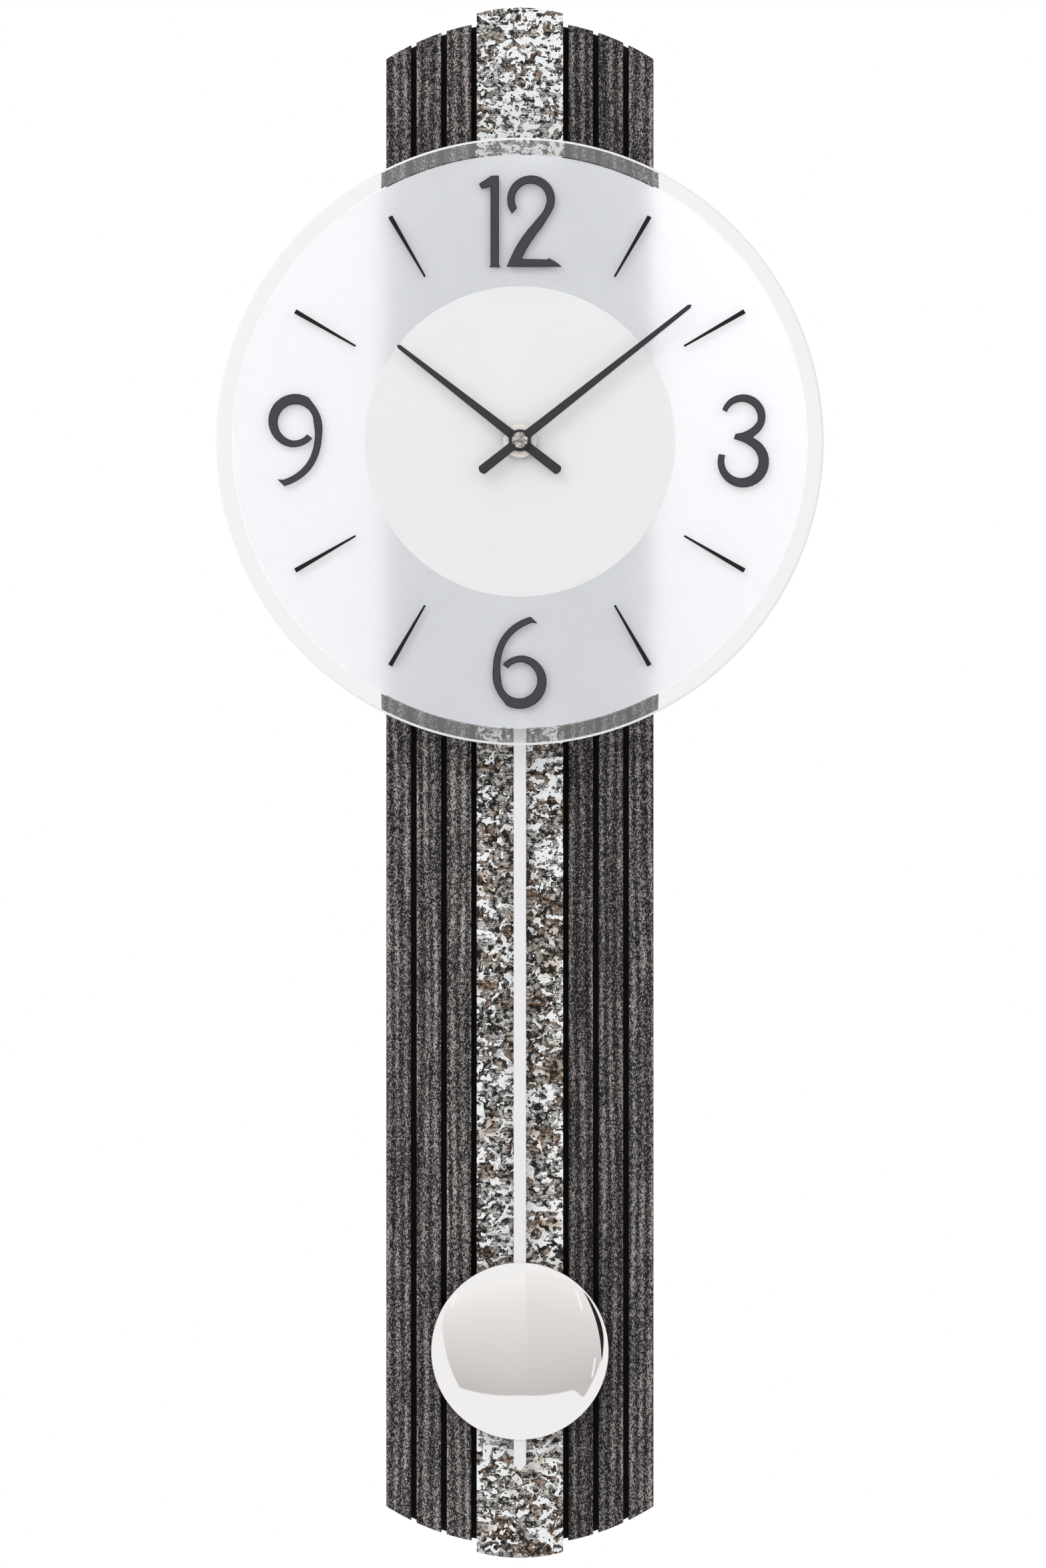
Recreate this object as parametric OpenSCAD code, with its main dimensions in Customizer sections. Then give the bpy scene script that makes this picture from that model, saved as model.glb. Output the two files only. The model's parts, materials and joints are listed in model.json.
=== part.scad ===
// Wall clock with a pendulum: a round glass dial in front of a tall slatted case
// with a stone strip down its middle, driven by a battery movement.
// X is to the right, Y goes back towards the wall, Z is up.
// The origin is the centre of the hanger's entry hole, on the wall.

/* [Case] */
// Height of the stone strip, which is the height of the whole clock
clock_h = 700; // [690:1:712]
// Height of the slats beside the strip
slat_h = 690; // [680:1:696]
// Radius of the arched ends of the slats
arch_r = 112; // [100:1:130]
// Width of the stone strip
strip_w = 39; // [38:0.5:40]
// Radius of the arched ends of the stone strip
strip_arch_r = 72; // [60:1:112]
// Width of a slat
slat_w = 11.3; // [11:0.1:11.5]
// Width of the groove between two slats
groove_w = 2.35; // [2.2:0.05:2.45]
// Height of the dial's centre above the middle of the case
dial_rise = 152.3; // [140:0.1:160]
// Height of the hanger above the dial's centre
hanger_rise = 120; // [112:1:130]

/* [Dial] */
// Radius of the glass
glass_r = 135.6; // [130:0.1:140]
// Thickness of the glass
glass_t = 4; // [3.8:0.1:4.2]
// Width of the ground bevel on the rim
bevel_w = 7.3; // [5:0.1:9]
// Drop of the bevel from the front face
bevel_drop = 1.96; // [1.5:0.01:2.4]
// Radius of the plain middle of the dial
centre_r = 69.4; // [68:0.1:74]
// Distance from the stone to the glass front
dial_standoff = 28; // [27.8:0.1:30]

/* [Hands] */
// Length of the minute hand from its axis
minute_len = 97.3; // [90:0.1:105]
// Length of the hour hand from its axis
hour_len = 69.4; // [60:0.1:76]
// Length of both tails
tail_len = 22.6; // [18:0.1:26]
// Minute hand's turn from twelve, clockwise
minute_turn = 51.7; // [0:0.1:360]
// Hour hand's turn from twelve, clockwise
hour_turn = 307.9; // [0:0.1:360]

/* [Pendulum] */
// Radius of the bob
bob_r = 40; // [36:0.5:44]
// Depth of the bob's dome
bob_dome = 11.5; // [8:0.1:14]
// Distance from the dial's centre down to the bob's centre
bob_drop = 408.2; // [380:0.1:430]
// Length of the rod below the bob's centre
rod_below = 53.7; // [46:0.1:58]
// Width of the rod
rod_w = 5.6; // [5:0.1:6]
// Thickness of the rod
rod_t = 1.5; // [1.2:0.1:1.6]

/* [Hidden] */
$fn = 96;

// Cuts run this far past a face
cut = 0.5;
// Heights of the case's middle and of the dial's centre
dial_z = -hanger_rise;
mid_z = dial_z - dial_rise;

// Depths are distances from the wall towards the viewer
board_d = 1.2;
slat_d = 13.2;
slat_front = 21.2;
rail_front = 23.2;
stone_front = 25.2;
glass_front = stone_front + dial_standoff;
glass_back = glass_front - glass_t;
print_t = 0.1;
print_d = glass_back - print_t;
carrier_front = 48;
marker_t = 0.7;

// Step from slat to slat, inner edge of the first slat, and width of the board
slat_step = slat_w + groove_w;
inner_slat_x = strip_w / 2 + groove_w;
board_w = 2 * (inner_slat_x + 3 * slat_w + 2 * groove_w) - 3;

// The box that carries the glass and the movement
carrier_w = 95;
carrier_h = 100;
carrier_wall = 3;
carrier_post = [41, 43.5];
carrier_gap = 0.3;
strip_gap_top = carrier_h / 2 + carrier_gap;
strip_gap_bottom = 60;

// Movement case, its battery trough and its plates, with heights from the dial's centre
case_w = 56;
case_wall = 1.5;
case_low = -44;
case_top = 28.5;
trough_low = 10.5;
back_case_d = 20;
gear_plate_d = 28.5;
front_case_d = gear_plate_d + case_wall;
middle_plate_d = 36.5;
case_front = carrier_front - carrier_wall;
trough_back = 17;
trough_front = 31.8;
bush_r = 4.5;
bush_bore = 2.6;
bush_end = 55;
plate_gap = 0.2;
plate_post_at = [[-22, -22], [22, -16], [-22, 5], [24, 6.5]];

// Gear teeth: addendum of wheels and pinions, dedendum, and what each flank is thinned by
wheel_add = 0.8;
pinion_add = 0.9;
tooth_ded = 1.15;
flank_thin = 0.05;
pressure = 20;
fit = 0.05;
pivot_r = 0.5;
arbor_r = 1;
minute_r = 1.5;

// Modules and tooth counts of each pair, wheel first
hand_mod = 0.5;
hour_mod = 0.48;
third_mod = 0.3;
seconds_mod = 0.25;
rotor_mod = 0.22;
minute_teeth = 36;
cannon_teeth = 12;
hour_teeth = 40;
hour_pinion_teeth = 10;
centre_teeth = 64;
train_teeth = 60;
third_pinion_teeth = 8;
seconds_pinion_teeth = 8;
step_pinion_teeth = 10;
rotor_pinion_teeth = 12;

// Directions from each arbor to the next, and the places that follow
function polar(r, a) = r * [cos(a), sin(a)];
function centre_distance(m, z1, z2) = m * (z1 + z2) / 2;
third_dir = 210;
seconds_dir = 288;
step_dir = 353.4;
rotor_dir = 332.1;
centre_at = [0, 0];
minute_at = [centre_distance(hand_mod, minute_teeth, cannon_teeth), 0];
third_at = polar(centre_distance(third_mod, centre_teeth, third_pinion_teeth), third_dir);
seconds_at = third_at
    + polar(centre_distance(third_mod, train_teeth, seconds_pinion_teeth), seconds_dir);
step_at = seconds_at
    + polar(centre_distance(seconds_mod, train_teeth, step_pinion_teeth), step_dir);
rotor_at = step_at
    + polar(centre_distance(rotor_mod, train_teeth, rotor_pinion_teeth), rotor_dir);

// Pendulum drive, with heights from the dial's centre
lever_at = [0, 5];
magnet_at = [0, -34.5];
hook_at = [0, -54];
lever_back = 25.6;
lever_front = 27.6;
magnet_r = 4;
hanger_back = 28.3;
hanger_front = 29.3;
rod_back = hanger_front;
rod_front = rod_back + rod_t;
rod_lift = 5;
rod_top = -62.5;
bob_back = rod_front + 0.1;
bob_plate_t = 1;
bob_rim = bob_back + 1.3;
bob_skin = 0.8;
clip_t = 0.5;

// Colours
slat_colour = "#55535a";
board_colour = "#141416";
stone_colour = "#d8d8da";
glass_colour = [0.85, 0.92, 0.92, 0.35];
marker_colour = "#4b484e";
silver_colour = "#dcdce2";
black_colour = "#1c1c1f";
white_colour = "#f2f3f4";
green_colour = "#2f6b3c";
copper_colour = "#b0602c";

// Placement helpers
// A flat shape in X and Z made solid between two depths
module slab(d0, d1) {
    translate([0, -d0, 0]) rotate([90, 0, 0]) linear_extrude(d1 - d0) children();
}

// A round rod or disc along the depth
module disc(r, d0, d1) {
    translate([0, -d0, 0]) rotate([90, 0, 0]) cylinder(r = r, h = d1 - d0);
}

// Children moved to a place on the dial, given from its centre
module on_dial(at = [0, 0]) {
    translate([at[0], 0, dial_z + at[1]]) children();
}

// A cone along the depth, for countersunk heads
module cone(r0, r1, d0, d1) {
    translate([0, -d0, 0]) rotate([90, 0, 0]) cylinder(r1 = r0, r2 = r1, h = d1 - d0);
}

// Flat shapes
module round_rect(w, h, r) {
    square([w - 2 * r, h], center = true);
    square([w, h - 2 * r], center = true);
    for (x = [-1, 1], z = [-1, 1])
        translate([x * (w / 2 - r), z * (h / 2 - r)]) circle(r);
}

// A tall shape whose ends are arches
module arched(w, h, r) {
    intersection() {
        square([w, h], center = true);
        union() {
            square([2 * r, h - 2 * r], center = true);
            for (s = [-1, 1]) translate([0, s * (h / 2 - r)]) circle(r, $fn = 180);
        }
    }
}

module span(x0, x1, z0, z1) {
    translate([x0, z0]) square([x1 - x0, z1 - z0]);
}

// A slot with round ends, straight up from the origin
module slot(r, length) {
    circle(r);
    translate([-r, 0]) square([2 * r, length]);
    translate([0, length]) circle(r);
}

// Case
module case_colour() {
    color(slat_colour) children();
}

// The whole footprint of the carrier, which the slats and the strip leave free
module carrier_footprint() {
    translate([0, dial_z])
        square([carrier_w + 2 * carrier_gap, carrier_h + 2 * carrier_gap], center = true);
}

// Way through to the battery and the setting knob, with heights from the dial's centre
window_x = 30;
window_low = -36;
window_top = 32;

// Keyhole hanger: its middle and half the distance of its screws, the wall screw's slot
// and the pocket that the board leaves for the screw's head
hanger_mid = 3;
hanger_screw_x = 19;
hanger_slot = 10;
pocket_r = 7.5;
pocket_deep = 7;

// Carrier screws: clearance hole, and the hole for the head
screw_hole_r = 1.65;
screw_head_r = 3.4;
screw_head_deep = 2.6;

module backboard() {
    color(board_colour) difference() {
        slab(board_d, slat_d) translate([0, mid_z]) arched(board_w, slat_h, arch_r);
        slab(board_d - cut, slat_d + cut)
            translate([0, dial_z]) span(-window_x, window_x, window_low, window_top);
        slab(board_d - cut, board_d + pocket_deep) slot(pocket_r, hanger_slot);
        for (x = [-1, 1]) translate([x * hanger_screw_x, 0, hanger_mid])
            disc(hanger_screw_r + fit, board_d - cut, board_d + hanger_screw_t + 1);
        for (x = [-1, 1], z = [-1, 1]) on_dial([x * carrier_post[0], z * carrier_post[1]]) {
            disc(screw_hole_r, board_d - cut, slat_d + cut);
            disc(screw_head_r, board_d - cut, board_d + screw_head_deep);
        }
    }
}

// One slat between two distances from the middle, on the left or on the right
module slat(side, number) {
    x0 = inner_slat_x + number * slat_step;
    case_colour() slab(slat_d, slat_front) difference() {
        intersection() {
            translate([0, mid_z]) arched(2 * arch_r, slat_h, arch_r);
            translate([side > 0 ? x0 : -x0 - slat_w, mid_z - slat_h / 2])
                square([slat_w, slat_h]);
        }
        carrier_footprint();
    }
}

module slat_left_outer() { slat(-1, 2); }
module slat_left_middle() { slat(-1, 1); }
module slat_left_inner() { slat(-1, 0); }
module slat_right_inner() { slat(1, 0); }
module slat_right_middle() { slat(1, 1); }
module slat_right_outer() { slat(1, 2); }

// The strip's outline above or below the carrier
module strip_part(upper) {
    z0 = upper ? dial_z + strip_gap_top : mid_z - clock_h;
    z1 = upper ? mid_z + clock_h : dial_z - strip_gap_bottom;
    intersection() {
        translate([0, mid_z]) arched(strip_w, clock_h, strip_arch_r);
        span(-strip_w, strip_w, z0, z1);
    }
}

module strip_rail_upper() { color(board_colour) slab(slat_d, rail_front) strip_part(true); }
module strip_rail_lower() { color(board_colour) slab(slat_d, rail_front) strip_part(false); }
module stone_upper() { color(stone_colour) slab(rail_front, stone_front) strip_part(true); }
module stone_lower() { color(stone_colour) slab(rail_front, stone_front) strip_part(false); }

// Keyhole plate that hangs on the wall screw
hanger_w = 54;
hanger_h = 28;
hanger_screw_r = 1.45;
hanger_screw_t = 10;
module hanger_plate() {
    color(silver_colour) difference() {
        slab(0, board_d) translate([0, hanger_mid]) round_rect(hanger_w, hanger_h, 4);
        disc(5.5, -cut, board_d + cut);
        slab(-cut, board_d + cut) slot(2.5, hanger_slot);
        for (x = [-1, 1]) translate([x * hanger_screw_x, 0, hanger_mid])
            cone(3.3, 1.9, -0.01, board_d + 0.01);
    }
}

module hanger_screws() {
    color(silver_colour) for (x = [-1, 1]) translate([x * hanger_screw_x, 0, hanger_mid])
        difference() {
            union() {
                cone(3.1, 1.7, 0.05, board_d);
                disc(hanger_screw_r, board_d, board_d + hanger_screw_t);
            }
            cross_recess(3, 0);
        }
}

// Cross for the screwdriver, cut from the wall side
module cross_recess(size, d) {
    for (a = [0, 90]) slab(d - cut, d + 0.9) rotate(a) square([size, 0.7], center = true);
}

// Felt discs near the corners of the board
pad_r = 7;
pad_x = 45;
pad_z = 45;
module wall_pads() {
    color(black_colour) for (x = [-pad_x, pad_x], z = [pad_z, 2 * mid_z - pad_z])
        translate([x, 0, z]) disc(pad_r, 0, board_d);
}

// Box on the board that carries the movement and the glass
module dial_carrier() {
    color(black_colour) on_dial() difference() {
        union() {
            slab(slat_d, carrier_front) difference() {
                round_rect(carrier_w, carrier_h, 4);
                round_rect(carrier_w - 2 * carrier_wall, carrier_h - 2 * carrier_wall, 2);
            }
            slab(case_front, carrier_front) round_rect(carrier_w, carrier_h, 4);
            for (x = [-1, 1], z = [-1, 1])
                translate([x * carrier_post[0], 0, z * carrier_post[1]]) slab(slat_d, case_front)
                    square(7.2, center = true);
        }
        disc(bush_r + 0.1, case_front - cut, carrier_front + cut);
        for (x = [-1, 1], z = [-1, 1]) translate([x * carrier_post[0], 0, z * carrier_post[1]])
            disc(1.5, slat_d - cut, 31);
        // way out for the pendulum
        translate([-11, -32, -carrier_h / 2 - cut]) cube([22, 8, carrier_wall + 2 * cut]);
    }
}

module carrier_screws() {
    color(silver_colour) for (x = [-1, 1], z = [-1, 1])
        on_dial([x * carrier_post[0], z * carrier_post[1]]) difference() {
            union() {
                disc(3.1, board_d + 0.2, board_d + screw_head_deep);
                disc(1.45, board_d + screw_head_deep, 30);
            }
            cross_recess(4, board_d + 0.2);
        }
}

// Dial
module dial_glass() {
    color(glass_colour) on_dial() rotate([90, 0, 0]) rotate_extrude($fn = 180) polygon([
        [bush_r + 0.1, glass_back], [glass_r, glass_back],
        [glass_r, glass_front - bevel_drop], [glass_r - bevel_w, glass_front],
        [bush_r + 0.1, glass_front]]);
}

// Frosted ring behind the hour marks
module dial_ring_print() {
    color("#e3e4ea") on_dial() slab(print_d, glass_back) difference() {
        circle(glass_r - bevel_w - 0.3);
        circle(centre_r);
    }
}

module dial_centre_print() {
    color(white_colour) on_dial() slab(print_d, glass_back) difference() {
        circle(centre_r);
        circle(bush_r + 0.1);
    }
}

// Tape strips that bed the glass on its carrier
module glass_pads() {
    color(black_colour) for (x = [-1, 1]) on_dial([x * 36, 0])
        slab(carrier_front, print_d) square([8, 76], center = true);
}

// Nut on the movement's tube: a flange, a smaller ring, and four slots for the spanner
nut_r = 7.5;
nut_ring_r = 6.2;
nut_step = 0.9;
nut_slot_w = 1.2;
module dial_nut() {
    color("#e6ddc8") on_dial() difference() {
        union() {
            disc(nut_r, glass_front, glass_front + nut_step);
            disc(nut_ring_r, glass_front + nut_step, glass_front + 2 * nut_step);
        }
        disc(bush_r + fit, glass_front - cut, glass_front + 2 * nut_step + cut);
        for (a = [0, 90]) slab(glass_front + 1.1, glass_front + 2 * nut_step + cut)
            rotate(a) square([2 * nut_r + 1, nut_slot_w], center = true);
    }
}

// Hour marks. Each outline is a chain of arcs and curves, in millimetres from the dial's centre
function arc(c, r0, r1, a0, a1, n = 12) = [for (i = [0:n]) let (t = i / n)
    c + polar(r0 + (r1 - r0) * t, a0 + (a1 - a0) * t)];
function bend(p, q, r, n = 6) = [for (i = [0:n]) let (t = i / n)
    p * (1 - t) * (1 - t) + q * 2 * t * (1 - t) + r * t * t];

one_outline = [[-13.8, 77.4], [-8.5, 77.4], [-9.3, 78.3], [-9.3, 118.3], [-12.6, 118.3],
    [-18.3, 114.6], [-17, 112.3], [-13.1, 113.3], [-13.1, 78.3]];

two_outline = concat(
    arc([5, 107.7], 10.7, 10.7, 217, -34, 20),
    bend([10.1, 95.6], [3.6, 87.6], [0.8, 81.2]),
    [[12.3, 80.9], [12.9, 81.6], [16.1, 79.8], [18.8, 77.6], [-6, 77.6]],
    bend([-2.9, 84.3], [0.3, 90.8], [5.6, 96.6]),
    bend([9.2, 100.9], [10.9, 103], [11.4, 105]),
    arc([4.9, 107.6], 7, 7.2, -18, 212, 20));

// The nine's bowl lies between two circles, one for each side of the stroke. A six is the same
// outline turned half round
bowl_out = [-100.1, 9];
bowl_in = [-99.8, 8.3];
nine_outline = concat(
    [[-108.1, -17.1]],
    bend([-105.3, -17.3], [-96.6, -14.2], [-93.3, -6.8], 8),
    bend([-92.6, -4.8], [-90.6, 1.6], [-91.9, 8], 8),
    arc(bowl_in, 7.9, 8.2, 12, 250, 22),
    arc(bowl_in, 8.2, 7.3, 262, 314, 5),
    arc(bowl_out, 11, 12, -46, -100, 5),
    arc(bowl_out, 12, 12, -112, -300, 18),
    bend([-92.4, 17.1], [-87.4, 11.3], [-88, 3.9], 8),
    bend([-88.4, -0.6], [-90.6, -15.8], [-104.9, -20.2], 12));

three_outline = concat(
    arc([99.6, 10.9], 9.9, 9.9, 162, -48, 18),
    [[103.8, 1.6]],
    arc([99.5, -9.3], 11.6, 11.4, 62, -198, 24),
    arc([98.7, -8.9], 7.6, 7.7, -200, 12, 18),
    bend([105.4, -5.2], [102.6, -0.9], [95.3, 0.9]),
    [[96.1, 3.2]],
    bend([98, 3.5], [102.3, 4.4], [105, 7.6]),
    arc([99, 10.3], 7, 7.2, -14, 160, 16));

nine_centre = [-100.05, 0.35];
six_centre = [-0.1, -98.8];

module marker() {
    color(marker_colour) on_dial() slab(glass_front, glass_front + marker_t) children();
}

module numeral_12() {
    marker() {
        polygon(one_outline);
        polygon(two_outline);
    }
}

module numeral_3() { marker() polygon(three_outline); }
module numeral_9() { marker() polygon(nine_outline); }

module numeral_6() {
    marker() translate(six_centre) rotate(180) translate(-nine_centre) polygon(nine_outline);
}

// Thin tapered marks at the hours without a numeral
baton_in = 84.5;
baton_out = 115.6;
module hour_batons() {
    marker() for (h = [1, 2, 4, 5, 7, 8, 10, 11]) rotate(-30 * h)
        polygon([[-0.45, baton_in], [0.45, baton_in], [1.05, baton_out], [-1.05, baton_out]]);
}

// Hands
hour_hand_d = 56;
minute_hand_d = 58;
hand_t = 0.6;
hub_r = 4.85;
hand_root_w = 4;
hand_tip_w = 1.9;
tip_len = 1.3;
tail_w = 4.3;
tail_end_r = 2.7;
tail_corner_r = 0.4;
hub_fillet_r = 1.2;

// Right half of a hand that points up, from its tip down to its tail: the bar runs into the hub
// in a fillet on either side, and the tail ends in a flat arc between two rounded corners
function hand_half(length) = let (
    bar_x = hand_root_w / 2,
    fillet = [bar_x + hub_fillet_r,
        sqrt(pow(hub_r + hub_fillet_r, 2) - pow(bar_x + hub_fillet_r, 2))],
    a = atan2(fillet[1], fillet[0]),
    end = [0, tail_end_r - tail_len],
    corner_x = tail_w / 2 - tail_corner_r,
    corner_y = -sqrt(pow(tail_end_r - tail_corner_r, 2) - pow(corner_x, 2)),
    b = atan2(corner_y, corner_x))
    concat([[0, length], [hand_tip_w / 2, length - tip_len]],
        arc(fillet, hub_fillet_r, hub_fillet_r, 180, 180 + a, 6),
        arc([0, 0], hub_r, hub_r, a, -a, 24),
        arc([fillet[0], -fillet[1]], hub_fillet_r, hub_fillet_r, 180 - a, 180, 6),
        arc(end + [corner_x, corner_y], tail_corner_r, tail_corner_r, 0, b, 5),
        arc(end, tail_end_r, tail_end_r, b, -90, 8));

module hand(length, turn, d, bore_r) {
    right = hand_half(length);
    left = [for (i = [len(right) - 2:-1:1]) [-right[i][0], right[i][1]]];
    color(marker_colour) on_dial() slab(d, d + hand_t) difference() {
        rotate(-turn) polygon(concat(right, left));
        circle(bore_r);
    }
}

module hour_hand() { hand(hour_len, hour_turn, hour_hand_d, 2.5); }
module minute_hand() { hand(minute_len, minute_turn, minute_hand_d, minute_r); }

// Cap on the end of the minute arbor: a ball's crown over a short rim
cap_r = 3.55;
cap_d = minute_hand_d + hand_t;
cap_ball_r = 4.06;
cap_ball_d = cap_d - 0.3;
arbor_in_cap = 1.2;
module hand_cap() {
    color(silver_colour) on_dial() difference() {
        rotate([90, 0, 0]) rotate_extrude() intersection() {
            translate([0, cap_ball_d]) circle(cap_ball_r);
            translate([0, cap_d]) square([cap_r, cap_ball_r]);
        }
        disc(minute_r + fit, cap_d - cut, cap_d + arbor_in_cap + 0.1);
    }
}

// Movement case
module case_outline(inset = 0) {
    translate([0, (case_low + case_top) / 2])
        round_rect(case_w - 2 * inset, case_top - case_low - 2 * inset, 3 - inset);
}

// What lies below the battery trough, or above it
module below_trough() { span(-case_w, case_w, case_low * 2, trough_low); }
module above_trough() { span(-case_w, case_w, trough_low - 0.1, case_top * 2); }

module movement_front_case() {
    color(black_colour) on_dial() difference() {
        union() {
            slab(front_case_d, case_front) case_outline();
            disc(bush_r, case_front, bush_end);
        }
        difference() {
            slab(front_case_d - cut, case_front - case_wall) case_outline(case_wall);
            for (at = plate_post_at) translate([at[0], 0, at[1]])
                disc(1.8, middle_plate_d + case_wall, case_front);
        }
        slab(front_case_d - cut, trough_front + fit) above_trough();
        disc(bush_bore, case_front - 2 * case_wall, bush_end + cut);
        translate([minute_at[0], 0, minute_at[1]])
            disc(pivot_r + fit, case_front - 2 * case_wall, carrier_front);
    }
}

module movement_back_case() {
    color(black_colour) on_dial() difference() {
        union() {
            slab(back_case_d, gear_plate_d) intersection() {
                case_outline();
                below_trough();
            }
            slab(trough_back, trough_front) intersection() {
                case_outline();
                span(-case_w, case_w, trough_low, case_top);
            }
        }
        slab(back_case_d + case_wall, gear_plate_d + cut) intersection() {
            case_outline(case_wall);
            below_trough();
        }
        slab(trough_back - cut, trough_front - case_wall) difference() {
            case_outline(case_wall);
            span(-case_w, case_w, case_low * 2, trough_low + case_wall);
        }
        translate([-9.5, -gear_plate_d - cut, case_low - cut]) cube([19, 4, 2 + cut]);
        translate([minute_at[0], 0, minute_at[1]])
            disc(arbor_r + fit, back_case_d - cut, back_case_d + 2 * case_wall);
        translate([lever_at[0], 0, lever_at[1]])
            disc(arbor_r + 0.02, back_case_d - cut, back_case_d + 2 * case_wall);
    }
}

// Pivot holes of the wheels that turn on thin arbors
module pivot_holes(d0, d1) {
    for (at = [third_at, seconds_at, step_at, rotor_at])
        translate([at[0], 0, at[1]]) disc(pivot_r + fit, d0 - cut, d1 + cut);
    translate([minute_at[0], 0, minute_at[1]]) disc(arbor_r + fit, d0 - cut, d1 + cut);
}

stator_stud_at = [[-4.3, -25.2], [23.2, -25.2]];
board_stud_at = [[-23, -39], [-12, -39], [-23, -28]];
minute_pivot_r = 0.9;
module gear_plate() {
    color("#c9c9c4") on_dial() difference() {
        union() {
            slab(gear_plate_d, front_case_d) intersection() {
                case_outline();
                span(-case_w, case_w, case_low * 2, trough_low - 0.1);
            }
            for (at = stator_stud_at) translate([at[0], 0, at[1]])
                disc(1.1, front_case_d, stator_d);
            for (at = board_stud_at) translate([at[0], 0, at[1]])
                disc(1.2, front_case_d, circuit_d);
        }
        pivot_holes(gear_plate_d, front_case_d);
        disc(minute_pivot_r + fit, gear_plate_d - cut, front_case_d + cut);
        translate([lever_at[0], 0, lever_at[1]])
            disc(arbor_r + 0.02, gear_plate_d - cut, front_case_d + cut);
    }
}

module middle_plate() {
    color("#c9c9c4") on_dial() difference() {
        slab(middle_plate_d, middle_plate_d + case_wall) intersection() {
            case_outline(case_wall + plate_gap);
            span(-case_w, case_w, case_low * 2, trough_low - 0.6);
        }
        pivot_holes(middle_plate_d, middle_plate_d + case_wall);
        disc(minute_r + fit, middle_plate_d - cut, middle_plate_d + case_wall + cut);
    }
}

// Battery, size AA, lying across the movement
battery_r = 7.25;
battery_half = 25.25;
battery_d = 22.9;
battery_z = 19.5;
module along_x(x0, x1) {
    on_dial([x0, battery_z]) translate([0, -battery_d, 0]) rotate([0, 90, 0])
        linear_extrude(x1 - x0) children();
}

module battery() {
    color("#3b6ea5") union() {
        along_x(-battery_half, battery_half - 1) circle(battery_r);
        along_x(battery_half - 1, battery_half) circle(2.75);
    }
}

contact_t = 0.3;
trough_end = case_w / 2 - case_wall;
module battery_plus_contact() {
    color(silver_colour) {
        along_x(trough_end - contact_t, trough_end) square([8, 9], center = true);
        along_x(battery_half + fit, trough_end - contact_t) circle(1.6);
    }
}

module battery_minus_contact() {
    color(silver_colour) {
        along_x(-trough_end, contact_t - trough_end) square([8, 9], center = true);
        along_x(contact_t - trough_end, -battery_half - fit) difference() {
            circle(3.4);
            circle(2.4);
        }
    }
}

// Electronics
circuit_d = 31;
module circuit_board() {
    color(green_colour) on_dial() slab(circuit_d, circuit_d + 0.8) span(-25.5, -9.5, -41.5, -25.5);
    color(black_colour) on_dial() slab(circuit_d + 0.8, circuit_d + 2) translate([-15, -31])
        circle(3);
}

module quartz_crystal() {
    color(silver_colour) on_dial([-24, -37.5]) translate([0, -circuit_d - 1.9, 0])
        rotate([0, 90, 0]) cylinder(r = 1, h = 6.5);
}

// Stepping motor
stator_d = 32.2;
stator_t = 0.8;
coil_z = -35;
rotor_magnet_r = 3;
module motor_stator() {
    color("#8e9096") on_dial() slab(stator_d, stator_d + stator_t) difference() {
        union() {
            span(-6, 25, -27, -23.4);
            span(-6, -2.5, coil_z - 1.5, -23.4);
            span(21.5, 25, coil_z - 1.5, -23.4);
            span(-6, 25, coil_z - 1.5, coil_z + 1.5);
            translate(rotor_at) circle(5.2);
        }
        translate(rotor_at) circle(rotor_magnet_r + 0.6);
    }
}

module motor_coil() {
    coil_mid = stator_d + stator_t / 2;
    color(copper_colour) on_dial() difference() {
        slab(coil_mid - 2.2, coil_mid + 2.2) span(-2, 21, coil_z - 3.5, coil_z + 3.5);
        slab(coil_mid - 0.5, coil_mid + 0.5) span(-2 - cut, 21 + cut, coil_z - 1.6, coil_z + 1.6);
    }
}

// Gear teeth with involute flanks, drawn as a polygon whose first tooth points along X.
// A flank has three points, and its half angle at a radius comes from the involute
function involute(a) = tan(a) * 180 / PI - a;
function tooth_half(r, m, z) = let (base = m * z / 2 * cos(pressure))
    90 / z + involute(pressure) - involute(acos(min(1, base / max(r, base))))
    - flank_thin / (m * z / 2) * 180 / PI;
function gear_outline(m, z, add) = let (
    pitch = m * z / 2,
    root = pitch - tooth_ded * m,
    foot = max(pitch * cos(pressure), root + 0.01),
    radii = [root, foot, (foot + pitch + add * m) / 2, pitch + add * m])
    [for (k = [0:z - 1], side = [-1, 1], i = [0:3]) let (r = radii[side < 0 ? i : 3 - i])
        polar(r, k * 360 / z + side * tooth_half(r, m, z))];

module gear(m, z, add, d) {
    slab(d[0], d[1]) polygon(gear_outline(m, z, add));
}

// Turn that puts a pinion's gap where a wheel at another place, with a tooth along X, has a tooth
function mesh_turn(wheel_at, pinion_at, wheel_z, pinion_z) = let (
    v = pinion_at - wheel_at, a = atan2(v[1], v[0]))
    a + 180 - 180 / pinion_z + a * wheel_z / pinion_z;

module pinion(m, z, turn, d) {
    rotate([0, -turn, 0]) gear(m, z, pinion_add, d);
}

// Depths of each toothed part, its back and its front
rotor_pinion_d = [30.05, 31];
step_wheel_d = [30.2, 30.8];
step_pinion_d = [30.8, 32.4];
seconds_wheel_d = [31.5, 32.1];
seconds_pinion_d = [32.1, 34.1];
third_wheel_d = [33.1, 33.8];
third_pinion_d = [33.8, 36.1];
centre_wheel_d = [34.9, 35.8];
cannon_pinion_d = [38.6, 40.9];
minute_wheel_d = [39.2, 40.4];
minute_pinion_d = [40.4, 42.9];
hour_wheel_d = [41.6, 42.8];

// Arbor of a thin wheel, between the two plates
arbor_back = gear_plate_d + 0.2;
arbor_front = middle_plate_d + case_wall - 0.2;
module thin_arbor() { disc(pivot_r, arbor_back, arbor_front); }

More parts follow.
